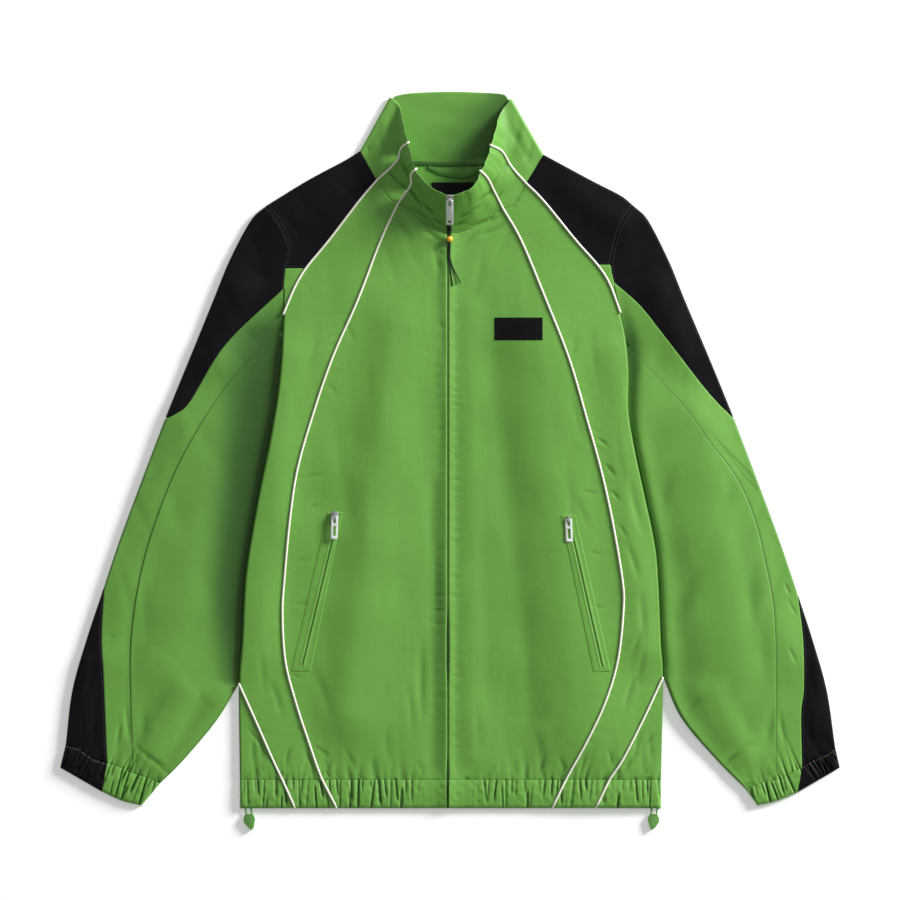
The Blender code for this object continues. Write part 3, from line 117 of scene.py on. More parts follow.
seams = {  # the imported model's seam lines, from the collar end to the hem or cuff end
    "neck": {
        "left": [(-79, 291), (-66, 273), (-56, 266), (-28, 245), (-3.6, 233)],
        "right": [(82, 288), (70, 266), (57, 261), (28, 241), (-1.2, 233)]},
    "innerPiping": {
        "left": [(-56, 266), (-75, 226), (-100, 161), (-128, 97), (-150, 32), (-165, -22), (-173, -76),
                 (-179, -141), (-181, -176), (-178, -227), (-167, -271), (-153, -314), (-138, -356),
                 (-122, -387)],
        "right": [(57, 261), (77, 226), (104, 161), (129, 97), (148, 32), (163, -22), (175, -76),
                  (186, -141), (187, -173), (181, -227), (168, -271), (148, -314), (125, -356),
                  (110, -387)]},
    "outerPiping": {
        "left": [(-79, 291), (-98, 269), (-131, 226), (-155, 197), (-168, 175), (-180, 146)],
        "right": [(82, 288), (101, 269), (136, 226), (159, 200), (172, 180), (184, 148)]},
    "lowerPiping": {
        "left": [(-228, -252), (-210, -292), (-191, -335), (-181, -356), (-167, -387)],
        "right": [(230, -245), (208, -292), (186, -335), (172, -356), (157, -387)]},
    "sideEdge": {
        "left": [(-180, 146), (-182, 109), (-187, 59), (-195, 12), (-209, -59), (-221, -134),
                 (-225, -204), (-228, -252), (-227, -356), (-227, -387)],
        "right": [(184, 148), (190, 118), (193, 84), (193, 42), (199, 4), (210, -48), (221, -100),
                  (225, -140), (228, -210), (230, -245), (228, -356), (227, -387)]},
    "armhole": {
        "left": [(-198, 264), (-183, 243), (-173, 219), (-178, 196)],
        "right": [(198, 264), (185, 244), (177, 221), (173, 200)]},
    "shoulderEdge": {
        "left": [(-97, 323), (-113, 313), (-154, 291), (-198, 264)],
        "right": [(101, 319), (153, 291), (184, 275), (198, 264)]},
    "sleeveEdge": {
        "left": [(-198, 264), (-215, 248), (-238, 205), (-256, 161), (-282, 97), (-300, 53), (-308, 33)],
        "right": [(198, 264), (214, 248), (236, 205), (254, 161), (281, 97), (299, 53), (307, 33)]},
    "forearmEdge": {
        "left": [(-308, 33), (-333, -33), (-357, -98), (-373, -146)],
        "right": [(307, 33), (332, -33), (356, -98), (375, -154)]},
    "wristEdge": {
        "left": [(-373, -146), (-393, -206), (-408, -260), (-415, -318)],
        "right": [(375, -154), (392, -206), (407, -260), (416, -321)]},
    "blackEdge": {
        "left": [(-180, 174), (-242, 114), (-280, 53), (-294, 40), (-308, 33)],
        "right": [(177, 181), (206, 155), (236, 117), (279, 62), (307, 33)]},
    "sleeveSeam": {
        "left": [(-182, 129), (-234, 79), (-286, -1), (-318, -76), (-336, -141), (-345, -206),
                 (-345, -271), (-342, -349)],
        "right": [(190, 118), (206, 97), (250, 50), (279, 10), (308, -28), (328, -71), (340, -119),
                  (350, -175), (352, -249), (352, -356)]},
    "insertSeam": {
        "left": [(-373, -146), (-376, -202), (-374, -240), (-372, -290), (-370, -338)],
        "right": [(375, -154), (381, -204), (382, -256), (379, -285), (380, -342)]},
    "underEdge": {
        "left": [(-228, -252), (-252, -292), (-288, -335), (-313, -360)],
        "right": [(230, -245), (250, -290), (288, -335), (319, -366)]},
    "collarEdge": {
        "left": [(-65, 381), (-55, 373), (-51, 358), (-48, 343), (-45, 331), (-41, 316), (-37, 302),
                 (-30, 292), (-19, 282), (-3.6, 274)],
        "right": [(66, 380), (54, 363), (49, 345), (44, 328), (39, 312), (33, 300), (25, 284),
                  (10, 276), (-1.2, 274)]},
}
collarBackTop = [(-65, 381), (-49, 384.5), (-32, 386), (1, 387), (33, 386), (55, 384.5), (66, 380)]
collarBackBase = [(-97, 323), (-60, 313), (0, 310), (60, 313), (101, 319)]

levels = {  # y of the places where the seams meet along each side
    "left": dict(underPanel=196, tuck=174, armpit=146, seam=129, hemSide=-252),
    "right": dict(underPanel=200, tuck=181, armpit=148, seam=118, hemSide=-245)}

cuffs = {
    "left": dict(blackSeam=[(-415, -318), (-401, -322), (-385, -333), (-370, -338)],
                 blackEdge=[(-421, -343), (-376, -369)],
                 greenSeam=[(-370, -338), (-358, -342), (-342, -349), (-329, -353), (-313, -360)],
                 greenEdge=[(-376, -369), (-354, -379), (-333, -384)]),
    "right": dict(blackSeam=[(416, -321), (407, -328), (393, -334), (380, -342)],
                  blackEdge=[(421, -343), (375, -370)],
                  greenSeam=[(380, -342), (366, -350), (352, -356), (338, -359), (319, -366)],
                  greenEdge=[(375, -370), (353, -379), (332, -384)])}

folds = [  # x0, y0, x1, y1, reach on its left, reach on its right, rise: large ridges and troughs
    (-58, 130, -110, -280, 24, 42, 4.2), (-15, -40, -17, -340, 10, 8, -0.9),
    (-2.4, 225, -2.4, -400, 9, 9, 1.9), (22, 150, 24, -330, 10, 14, 0.9), (50, 100, 92, -285, 14, 14, -1.0),
    (98, 120, 142, -290, 44, 74, 6.4), (-176, 100, -210, -215, 30, 24, 3.0),
    (180, 100, 210, -210, 20, 30, 3.0), (-128, 284, -182, 246, 18, 18, 2.4),
    (132, 280, 182, 246, 18, 18, 2.4), (-226, 170, -256, 100, 20, 20, 3.2),
    (226, 170, 254, 100, 20, 20, 3.2), (-262, 40, -300, -230, 40, 26, 3.0),
    (262, 30, 318, -230, 44, 26, 5.2), (-290, 30, -370, -220, 22, 22, 2.2),
    (288, 20, 370, -230, 22, 22, 2.2), (-282, -262, -318, -326, 15, 15, 2.0),
    (282, -262, 322, -330, 15, 15, 2.2), (-392, -230, -396, -300, 10, 10, 1.8),
    (394, -230, 398, -300, 10, 10, 1.8)
]

creases = [  # x, y, heading (degrees), length, bow, half width, depth (a ridge if negative)
    # collar
    (-58, 349, -84, 62, 2, 3.2, 1.2), (-70, 348, -86, 64, -1, 5.0, -0.8), (-91, 326, -60, 22, 1, 2.2, 0.8),
    (-74, 326, -70, 44, 2, 3.0, 0.9), (-84, 343, -64, 40, -2, 3.4, 0.3), (-50, 300, -66, 40, 2, 2.4, 1.3),
    (-60, 296, -50, 34, -2, 2.2, 1.2), (-44, 276, -52, 36, 3, 2.0, 1.5), (-52, 284, -44, 22, 1, 1.7, 1.1),
    (-33, 270, -47, 30, -2, 1.8, 1.4), (-22, 258, -40, 26, 1, 1.6, 1.2), (-14, 246, -34, 22, 1, 1.5, 1.2),
    (-26, 262, -58, 24, 1, 1.5, 1.0), (-10, 262, -64, 18, 1, 1.5, 0.6), (74, 340, -104, 50, -2, 4.0, 0.9),
    (84, 322, -112, 34, 2, 3.0, 0.7), (62, 306, -118, 40, -2, 3.0, 0.8), (48, 292, -124, 26, 1, 2.0, 0.7),
    (38, 272, 40, 30, 2, 2.0, 1.3), (26, 262, 34, 28, -2, 1.7, 1.2), (16, 252, 26, 24, 1, 1.6, 1.2),
    (10, 243, 20, 20, 1, 1.5, 1.1), (52, 272, 58, 22, 1, 1.7, 0.9), (22, 272, 62, 16, 1, 1.6, 0.5),
    # left front, at the neck and down the placket
    (-29, 250, -38, 46, 2, 2.6, 1.3), (-27, 246, -29, 28, -1, 2.2, 0.8), (-21, 231, -40, 38, 2, 3.0, 1.0),
    (-52, 236, -58, 60, 3, 4.5, 0.8), (-38, 214, -62, 70, -4, 5.0, 0.3), (-70, 205, -70, 90, 5, 6.0, 0.3),
    (-16, 205, -78, 60, 2, 3.5, 0.6), (-9, 120, -88, 70, 1, 3.0, 0.5), (-10, 15, -91, 120, 1, 3.2, 0.5),
    (-12, -150, -89, 150, -1, 3.4, 0.6), (-31, -250, -90, 130, 1, 4.2, 1.2),
    (-44, -282, -84, 80, 3, 3.2, 0.7), (-104, -40, -80, 240, -8, 9.0, 0.5),
    (-140, -262, -70, 90, 4, 5.0, 0.5), (-64, -318, -84, 60, -3, 4.0, 0.5),
    (-147, -28, 12, 26, 1, 1.8, 0.5), (-146, -60, 8, 20, 0, 1.6, 0.5), (-157, -120, 10, 24, 1, 1.7, 0.4),
    (-160, -165, 4, 22, -1, 1.7, 0.5), (-156, 12, -58, 16, 1, 1.4, 0.5), (-128, 66, -50, 26, 1, 2.2, 0.4),
    (-110, 128, -62, 34, 2, 2.6, 0.4), (-166, -244, -12, 13, 0, 1.4, 0.7),
    # right front
    (36, 248, 17, 56, -2, 2.6, 1.2), (44, 240, 24, 48, -3, 2.6, 0.8), (22, 226, 40, 44, 2, 3.0, 0.7),
    (62, 224, -116, 60, -3, 5.0, 0.3), (30, 190, -100, 80, 2, 5.0, 0.5), (128, -60, -84, 120, 3, 5.0, 0.5),
    (120, -300, -100, 70, -4, 5.0, 0.3), (30, -300, -86, 80, 1, 4.0, 0.5), (96, -322, -80, 50, 2, 3.6, 0.6),
    (136, 36, -76, 70, 1, 3.0, 0.5), (142, -70, -66, 60, 2, 3.4, 0.5), (132, 110, -100, 50, 2, 3.0, 0.4),
    (150, -46, -8, 24, 1, 1.7, 0.5), (156, -110, -6, 22, -1, 1.6, 0.5), (160, -170, -10, 22, 1, 1.6, 0.4),
    (17, -355, -36, 14, 0, 1.6, 0.7),
    # above the hem
    (-193, -338, -58, 40, 2, 1.9, 1.1), (-174, -332, -104, 36, -2, 2.1, 1.0),
    (-152, -338, -72, 34, 2, 1.8, 1.1), (-128, -340, -112, 30, -2, 1.7, 0.9),
    (-108, -336, -66, 36, 2, 2.0, 0.8), (-84, -342, -98, 28, 1, 1.6, 0.7),
    (-211, -312, -50, 34, 2, 1.8, 0.8), (-140, -326, -36, 30, 2, 1.8, 0.7),
    (-184, -350, -24, 18, 1, 1.4, 0.7), (196, -338, -120, 40, -2, 1.9, 1.0),
    (172, -334, -78, 34, 2, 2.0, 0.9), (146, -338, -106, 34, -2, 1.8, 0.9),
    (120, -340, -70, 30, 2, 1.7, 0.8), (98, -338, -112, 34, 2, 1.9, 0.7), (72, -342, -84, 26, -1, 1.6, 0.6),
    (212, -314, -132, 32, 2, 1.8, 0.7), (-32, -344, -64, 24, 1, 1.5, 0.6),
    (44, -346, -118, 22, 1, 1.5, 0.6),
    # side panels
    (-150, 110, -104, 90, 4, 4.0, 0.3), (-188, -270, -72, 60, 2, 3.2, 0.6),
    (-204, -240, -84, 70, 2, 3.0, 0.4), (160, 100, -82, 90, -4, 4.0, 0.3),
    (186, -10, -80, 100, -3, 3.6, 0.3), (164, 8, -40, 22, 1, 1.8, 0.8), (172, -22, -52, 24, 1, 2.0, 0.9),
    (178, -50, -50, 20, 1, 1.7, 0.8), (186, -88, -58, 26, 1, 2.0, 0.7), (196, -120, -72, 60, 2, 3.4, 0.9),
    (203, -60, -76, 90, -3, 4.6, 0.9), (206, -180, -86, 80, 2, 4.0, 0.8), (195, 60, -86, 80, -2, 4.0, 0.7),
    (199, -210, -110, 50, 2, 3.0, 0.8), (196, -262, -108, 64, -2, 3.2, 0.9),
    (208, -236, -98, 60, -2, 3.0, 0.6), (-205, -320, -80, 46, 2, 2.6, 0.9),
    (204, -318, -100, 48, -2, 2.6, 0.9), (-214, -326, -94, 40, 1, 2.2, 0.7),
    (216, -322, -86, 44, 1, 2.2, 0.6),
    # shoulders and the black sleeve tops
    (-120, 282, -34, 70, 4, 5.0, 0.4), (-150, 262, -40, 80, -3, 6.0, 0.4),
    (-170, 238, -52, 50, 2, 4.0, 0.6), (124, 280, 34, 70, -4, 5.0, 0.4), (152, 262, 42, 80, 3, 6.0, 0.4),
    (170, 236, 56, 46, -2, 4.0, 0.6), (-214, 222, -64, 70, 3, 5.0, 0.5),
    (-232, 160, -66, 100, -5, 6.0, 0.5), (-262, 96, -68, 90, 4, 5.0, 0.4),
    (-206, 188, -30, 40, 2, 4.0, 0.6), (214, 222, -116, 70, -3, 5.0, 0.5),
    (232, 160, -114, 100, 5, 6.0, 0.5), (262, 96, -112, 90, -4, 5.0, 0.4),
    (204, 190, -150, 40, -2, 4.0, 0.6),
    # left sleeve
    (-222, 82, -58, 90, 6, 6.0, 0.4), (-262, 20, -60, 130, -7, 8.0, 0.5),
    (-300, -70, -70, 160, 6, 9.0, 0.5), (-322, -170, -82, 150, -5, 8.0, 0.5),
    (-352, -160, -76, 110, 4, 6.0, 0.4), (-334, -60, -68, 120, -4, 6.0, 0.4),
    (-318, -327, -37, 62, -8, 2.6, 0.8), (-304, -343, -33, 40, -5, 2.2, 0.7),
    (-366, -201, 18, 14, 0, 1.8, 0.5), (-360, -308, -100, 46, 2, 2.8, 0.9),
    (-346, -296, -84, 56, -2, 3.0, 0.8), (-292, -240, -60, 90, 4, 6.0, 0.4),
    (-262, -160, -66, 120, 5, 7.0, 0.4), (-240, -40, -74, 120, 4, 6.0, 0.3),
    (-268, -270, -52, 60, 3, 4.0, 0.3), (-212, 118, -36, 40, 2, 3.4, 0.6),
    (-330, -300, -92, 50, 2, 3.4, 0.7),
    # right sleeve
    (222, 82, -122, 90, -6, 6.0, 0.4), (262, 20, -120, 130, 7, 8.0, 0.5),
    (300, -70, -110, 160, -6, 9.0, 0.5), (322, -170, -98, 150, 5, 8.0, 0.5),
    (352, -160, -104, 110, -4, 6.0, 0.4), (334, -60, -112, 120, 4, 6.0, 0.4),
    (306, -338, 40, 44, 5, 2.2, 0.7), (318, -328, 38, 50, 6, 3.2, 1.0), (364, -150, 112, 20, 0, 1.8, 0.6),
    (370, -170, 120, 24, 1, 1.8, 0.5), (369, -222, 116, 26, -1, 1.8, 0.6),
    (360, -300, -80, 50, -2, 3.0, 0.8), (344, -300, -96, 56, 2, 3.0, 0.8),
    (292, -240, -120, 90, -4, 6.0, 0.4), (262, -160, -114, 120, -5, 7.0, 0.4),
    (240, -40, -106, 120, -4, 6.0, 0.3), (270, -272, -128, 60, -3, 4.0, 0.3),
    (208, 108, -140, 34, -2, 3.0, 0.6),
    # cuff inserts
    (-392, -250, -100, 90, 3, 4.0, 0.7), (-398, -296, -88, 40, 1, 2.6, 0.8),
    (-384, -306, -96, 44, -1, 2.6, 0.7), (394, -250, -80, 90, -3, 4.0, 0.7),
    (400, -300, -92, 40, -1, 2.6, 0.8), (388, -308, -84, 44, 1, 2.6, 0.7),
]


def spline(points, perSpan=20):
    # a smooth curve through the points: each span is the Catmull-Rom cubic of its four nearest points
    p = np.array(points, float)
    if len(p) == 2:
        return p[0] + (p[1] - p[0]) * np.linspace(0, 1, perSpan + 1)[:, None]
    p = np.vstack([2 * p[0] - p[1], p, 2 * p[-1] - p[-2]])
    t = (np.arange(perSpan) / perSpan)[:, None]
    a, b, c, d = (p[k:len(p) - 3 + k][:, None] for k in range(4))
    spans = 0.5 * (2 * b + (c - a) * t + (2 * a - 5 * b + 4 * c - d) * t ** 2
                   + (3 * b - a - 3 * c + d) * t ** 3)
    return np.vstack([spans.reshape(-1, p.shape[1]), p[-2:-1]])


def lengthAlong(path):
    return np.concatenate([[0], np.cumsum(np.linalg.norm(np.diff(path, axis=0), axis=1))])


def evenly(path, count):
    # the same line as count points, equal lengths apart
    s = lengthAlong(path)
    at = np.linspace(0, s[-1], count)
    return np.stack([np.interp(at, s, path[:, k]) for k in range(path.shape[1])], 1)


def trimmed(path, start=0.0, end=0.0):
    # the line without its first and last millimetres
    s = lengthAlong(path)
    at = np.linspace(start, s[-1] - end, len(path))
    return np.stack([np.interp(at, s, path[:, k]) for k in range(path.shape[1])], 1)


def betweenLevels(curve, top, bottom, count=80):
    # the stretch of a downward seam between two heights on the plan
    y = np.linspace(top, bottom, count)
    return np.stack([np.interp(y, curve[::-1, 1], curve[::-1, 0]), y], 1)


def edgeOf(*runs):
    # one edge from runs of (line, share): each line takes its share of the way from 0 to 1
    whole = sum(share for _, share in runs)
    ways, points, start = [], [], 0.0
    for path, share in runs:
        s = lengthAlong(path)
        ways.append(start + s / s[-1] * share / whole)
        points.append(path)
        start += share / whole
    return np.concatenate(ways), np.vstack(points)


def onEdge(edge, t):
    return np.stack([np.interp(t, edge[0], edge[1][:, k]) for k in range(2)], 1)


def meanLength(one, two):
    # half the sum of two opposite edges' lengths
    return (lengthAlong(asEdge(one)[1])[-1] + lengthAlong(asEdge(two)[1])[-1]) / 2


def straight(a, b):
    return spline([a, b])


def asEdge(line):
    # a plain line stands for an edge of one run
    return line if isinstance(line, tuple) else edgeOf((line, 1))


def patch(edges, u, v):
    # the surface between four edges: opposite edges blended straight, less the corners counted twice
    top, bottom, outer, inner = map(asEdge, edges)
    a, b = onEdge(top, u)[None], onEdge(bottom, u)[None]
    c, d = onEdge(outer, v)[:, None], onEdge(inner, v)[:, None]
    u, v = u[None, :, None], v[:, None, None]
    (nw, ne), (sw, se) = (onEdge(edge, np.array([0.0, 1.0])) for edge in (top, bottom))
    corners = (1 - v) * ((1 - u) * nw + u * ne) + v * ((1 - u) * sw + u * se)
    return (1 - v) * a + v * b + (1 - u) * c + u * d - corners


rimSteps = np.array([0.05, 0.3, 0.7, 1.2, 2.0, 3.0])    # distances from a rim where the grid is fine
narrow = 16    # a piece that is narrower than this has its rim steps drawn in


def spread(length, pitch):
    # places from 0 to 1 across a panel: fine beside both rims, even between, in a multiple of four steps
    rims = rimSteps * min(1, length / narrow)
    inside = length - 2 * rims[-1]
    count = max(2, round(inside / pitch))
    count += -(count + 2 * (len(rims) - 1)) % 4
    middle = rims[-1] + inside * np.arange(1, count) / count
    return np.concatenate([rims, middle, length - rims[::-1]]) / length


noise = dict(waves=12, spread=(0.7, 1.5), sum=3.5)    # how many, their lengths' range, and their usual sum


def softNoise(x, y, seed, wave, amount):
    # plane waves of about one wavelength in random directions, added up and scaled by their usual sum
    draw = np.random.default_rng(seed)
    z = np.zeros(np.shape(x))
    turns = draw.uniform(0, math.pi, noise["waves"])
    sizes = draw.uniform(*noise["spread"], noise["waves"])
    shifts = draw.uniform(0, 6.28, noise["waves"])
    for turn, size, shift in zip(turns, sizes, shifts):
        across = x * math.cos(turn) + y * math.sin(turn)
        z += np.sin(across * 2 * math.pi / (wave * size) + shift)
    return z * amount / noise["sum"]


def largeFolds(x, y):
    # each fold is rise * exp(-(d / reach)^2) of the distance d to its line, with a reach for either side
    z = np.full(np.shape(x), cloth["lie"])
    for x0, y0, x1, y1, leftReach, rightReach, rise in folds:
        dx, dy = x1 - x0, y1 - y0
        t = np.clip(((x - x0) * dx + (y - y0) * dy) / (dx * dx + dy * dy), 0, 1)
        d = np.hypot(x - x0 - t * dx, y - y0 - t * dy)
        turn = ((x - x0) * -dy + (y - y0) * dx) / (math.hypot(dx, dy) * (d + 1e-6))
        z += rise * np.exp(-(d / (leftReach + (rightReach - leftReach) * (0.5 + 0.5 * turn))) ** 2)
    return z


def creaseDepth(x, y):
    # a bowed trough: depth * exp(-(across / width)^2), fading along its length as a cosine squared
    z = np.zeros(np.shape(x))
    for cx, cy, heading, length, bow, width, depth in creases:
        near = (np.abs(x - cx) < length) & (np.abs(y - cy) < length)
        if not near.any():
            continue
        px, py = x[near] - cx, y[near] - cy
        c, s = math.cos(math.radians(heading)), math.sin(math.radians(heading))
        along, across = (px * c + py * s) / (length / 2), -px * s + py * c
        across = across - bow * (1 - along ** 2)
        fade = np.cos(np.clip(along, -1, 1) * math.pi / 2) ** 2
        z[near] += depth * np.exp(-(across / width) ** 2) * fade
    return z


def frontLie(x, y):
    return (largeFolds(x, y) - creaseDepth(x, y) + softNoise(x, y, 3, 70, 0.3)
            + softNoise(x, y * 0.35, 5, 26, 0.05) + softNoise(x, y, 9, 11, 0.02))


# the valley's painted shadow: the sleeve is darkened where the body's raised side would shade it; core and
# haze weigh its dark middle and its soft spread
valley = dict(  # where the body's side lies over the sleeve: y, the valley's width and how dark it is
    left=[(-260, 12, 0.3), (-249, 20, 0.8), (-184, 32, 0.96), (-54, 44, 0.98), (53, 58, 0.97),
          (129, 54, 0.93), (160, 34, 0.8)],
    right=[(-249, 2, 0.05), (-20, 3, 0.1), (20, 5, 0.3), (60, 9, 0.7), (110, 14, 0.9), (129, 14, 0.85),
           (160, 9, 0.6)],
    dip=dict(left=(14.0, 1.0), right=(4.0, 0.7)),    # least width of the dip and its share of the depth
    widest=40.0, fade=60.0, core=0.7, haze=0.3, hazeReach=2.4)


def besideBody(side):
    # for points on the sleeve: the distance past the body's edge, and 1 where the body lies over it
    edge, lv = spline(seams["sideEdge"][side]), levels[side]

    def measure(x, y):
        beyond = np.maximum(signOf[side] * (x - np.interp(y, edge[::-1, 1], edge[::-1, 0])), 0)
        ramp = np.clip((lv["tuck"] - y) / (lv["tuck"] - lv["seam"]), 0, 1)
        end = np.clip((y - lv["hemSide"]) / valley["fade"] + 1, 0, 1)
        return beyond, ramp * end
    return measure


def sleeveLie(side):
    # the front's lie, dipping beside the body's side edge as exp(-(d / width)^2)
    measure, rows = besideBody(side), np.array(valley[side], float)
    least, deep = valley["dip"][side]

    def height(x, y):
        z = frontLie(x, y)
        beyond, share = measure(x, y)
        width = np.maximum(np.minimum(np.interp(y, rows[:, 0], rows[:, 1]), valley["widest"]), least)
        return z + (cloth["tuck"] - z) * np.exp(-(beyond / width) ** 2) * share * deep
    return height


def sleeveShadow(side):
    # painted shadow in the valley: dark * (core * exp(-(d / width)^4) + haze * exp(-(d / wider)^2))
    measure, rows = besideBody(side), np.array(valley[side], float)

    def shade(x, y):
        beyond, share = measure(x, y)
        width, dark = np.interp(y, rows[:, 0], rows[:, 1]), np.interp(y, rows[:, 0], rows[:, 2])
        haze = valley["haze"] * np.exp(-(beyond / (valley["hazeReach"] * width)) ** 2)
        return share * dark * (valley["core"] * np.exp(-(beyond / width) ** 4) + haze)
    return shade


def gridFaces(rows, cols):
    i = (np.arange(rows - 1)[:, None] * cols + np.arange(cols - 1)[None]).ravel()
    return np.stack([i, i + cols, i + cols + 1, i + 1], 1)


def addMesh(name, verts, quads, tris, uv=None, wearAndHighlight=None, paintedShade=None, smooth=True):
    # one mesh object from whole arrays, in millimetres; faces are turned outwards by the signed volume
    quads = np.asarray(quads, np.int64).reshape(-1, 4)
    tris = np.asarray(tris, np.int64).reshape(-1, 3)
    fan = np.vstack([tris, quads[:, [0, 1, 2]], quads[:, [0, 2, 3]]])
    a, b, c = (verts[fan[:, k]] - verts.mean(axis=0) for k in range(3))
    if np.sum(np.cross(a, b) * c) < 0:
        quads, tris = quads[:, ::-1], tris[:, ::-1]
    mesh = bpy.data.meshes.new(name)
    mesh.vertices.add(len(verts))
    mesh.vertices.foreach_set("co", (verts * mm).ravel())
    loops = np.concatenate([quads.ravel(), tris.ravel()])
    counts = np.concatenate([np.full(len(quads), 4), np.full(len(tris), 3)])
    mesh.loops.add(len(loops))
    mesh.loops.foreach_set("vertex_index", loops)
    mesh.polygons.add(len(counts))
    mesh.polygons.foreach_set("loop_start", np.concatenate([[0], np.cumsum(counts)[:-1]]))
    mesh.polygons.foreach_set("use_smooth", np.broadcast_to(smooth, len(counts)).astype(bool))
    mesh.update(calc_edges=True)
    if uv is not None:
        layer = mesh.uv_layers.new(name="grain")
        layer.data.foreach_set("uv", (uv[loops] * mm).ravel())
    for label, values in (("wearAndHighlight", wearAndHighlight), ("paintedShade", paintedShade)):
        if values is not None:
            layer = mesh.attributes.new(label, "FLOAT", "POINT")
            layer.data.foreach_set("value", values.astype(np.float32))
    return addObject(name, mesh)


def nearby(z, reach, pick):
    # the mean or the least of the heights within so many grid steps each way
    for axis in (0, 1):
        padded = np.pad(z, [(reach, reach) if k == axis else (0, 0) for k in range(2)], mode="edge")
        runs = [np.take(padded, np.arange(z.shape[axis]) + k, axis=axis) for k in range(2 * reach + 1)]
        z = pick(runs, axis=0)
    return z


def cavity(z):
    # how far each point lies below the mean of the points three grid steps around it, in millimetres
    return np.clip(nearby(z, 3, np.mean) - z, 0, 1)


def ringOf(index):
    # a grid's outer points, once round
    return np.concatenate([index[0, :-1], index[:-1, -1], index[-1, :0:-1], index[:0:-1, 0]])


def shell(name, face, wall, floor, uv, wearAndHighlight, paintedShade, coarse=4):
    # a closed cloth: the fine face, an underside on every fourth grid line, and a rim between them
    rows, cols = face.shape[:2]
    under = face[::coarse, ::coarse].copy()
    under[..., 2] = np.maximum(nearby(face[..., 2], coarse, np.min)[::coarse, ::coarse] - wall, floor)
    under[..., 2] = np.minimum(under[..., 2], face[::coarse, ::coarse, 2] - cloth["thinnest"])
    count = rows * cols
    index = np.arange(count).reshape(rows, cols)
    low = count + np.arange(under.shape[0] * under.shape[1]).reshape(under.shape[:2])
    ring, lowRing = ringOf(index), ringOf(low)
    top = ring.reshape(-1, coarse)
    topEnd, lowEnd = np.roll(ring, -1).reshape(-1, coarse)[:, -1], np.roll(lowRing, -1)
    half = coarse // 2
    line = np.column_stack([top, topEnd])
    rim = [np.stack([line[:, k], lowRing, line[:, k + 1]], 1) for k in range(half)]
    rim.append(np.stack([line[:, half], lowRing, lowEnd], 1))
    rim += [np.stack([line[:, k], lowEnd, line[:, k + 1]], 1) for k in range(half, coarse)]
    quads = np.vstack([gridFaces(rows, cols), gridFaces(*under.shape[:2])[:, ::-1] + count])
    allUv = np.vstack([uv.reshape(-1, 2), uv[::coarse, ::coarse].reshape(-1, 2)])
    marks = [np.concatenate([m.ravel(), m[::coarse, ::coarse].ravel()]) for m in (wearAndHighlight, paintedShade)]
    rim = np.vstack(rim)[:, ::-1]
    smooth = np.arange(len(quads) + len(rim)) < len(quads)
    return addMesh(name, np.vstack([face.reshape(-1, 3), under.reshape(-1, 3)]), quads, rim, allUv, *marks,
                   smooth=smooth)


def addSweep(name, path, radius, sides=10):
    # a closed tube: a ring of sides points square to the path at each of its points, and a fan at each end
    path = np.asarray(path, float)
    radius = np.broadcast_to(radius, len(path))
    along = np.gradient(path, axis=0)
    along /= np.linalg.norm(along, axis=1)[:, None]
    across = np.cross(along, [0, 0, 1.0])
    across /= np.linalg.norm(across, axis=1)[:, None]
    up = np.cross(across, along)
    a = 2 * np.pi * np.arange(sides) / sides
    ring = np.cos(a)[None, :, None] * across[:, None] + np.sin(a)[None, :, None] * up[:, None]
    verts = (path[:, None] + ring * radius[:, None, None]).reshape(-1, 3)
    n = len(path)
    i, k = np.arange(n - 1)[:, None] * sides, np.arange(sides)[None]
    after = (k + 1) % sides
    quads = np.stack([i + k, i + after, i + sides + after, i + sides + k], -1).reshape(-1, 4)
    verts = np.vstack([verts, path[0], path[-1]])
    k, after, last = k[0], after[0], (n - 1) * sides
    caps = np.vstack([np.stack([0 * k + n * sides, after, k], 1),
                      np.stack([0 * k + n * sides + 1, last + k, last + after], 1)])
    s = lengthAlong(path)
    uv = np.stack([np.tile(a / (2 * np.pi) * 10, (n, 1)), np.tile(s[:, None], (1, sides))], -1)
    uv = np.vstack([uv.reshape(-1, 2), [0, s[0]], [0, s[-1]]])
    return addMesh(name, verts, quads, caps, uv)


def repeated(template, faces, places, frames):
    # one small form at many places: template points times each place's three axes
    verts = (places[:, None] + np.einsum("pk,nkj->npj", template, frames)).reshape(-1, 3)
    step = (np.arange(len(places)) * len(template))[:, None, None]
    return verts, (faces[None] + step).reshape(-1, faces.shape[1])


def nodeOf(tree, kind, values=None, **settings):
    made = tree.nodes.new(kind)
    for key, value in settings.items():
        setattr(made, key, value)
    setInputs(made, values or {})
    return made


def connect(tree, pairs):
    # sets each socket to a value, or links it to another socket
    for socket, value in pairs:
        if isinstance(value, tuple):
            socket.default_value = (*value, 1)
        elif isinstance(value, (int, float)):
            socket.default_value = value
        else:
            tree.links.new(value, socket)


def mathOf(tree, operation, *values):
    made = nodeOf(tree, "ShaderNodeMath", operation=operation)
    connect(tree, zip(made.inputs, values))
    return made.outputs[0]


def times(tree, a, b):
    return mathOf(tree, "MULTIPLY", a, b)


def add(tree, a, b):
    return mathOf(tree, "ADD", a, b)


def mixColor(tree, factor, first, second):
    made = nodeOf(tree, "ShaderNodeMix", data_type="RGBA")
    connect(tree, ((made.inputs["Factor"], factor), (made.inputs["A"], first), (made.inputs["B"], second)))
    return made.outputs["Result"]


def noiseOf(tree, vector, scale, detail, rough=0.5):
    made = nodeOf(tree, "ShaderNodeTexNoise", {"Scale": scale, "Detail": detail, "Roughness": rough})
    tree.links.new(vector, made.inputs["Vector"])
    return made.outputs["Fac"]


def grainOf(tree):
    # the piece's own uv, whole and as its two parts
    grain = nodeOf(tree, "ShaderNodeUVMap", uv_map="grain").outputs[0]
    parts = nodeOf(tree, "ShaderNodeSeparateXYZ")
    tree.links.new(grain, parts.inputs[0])
    return grain, parts.outputs[0], parts.outputs[1]


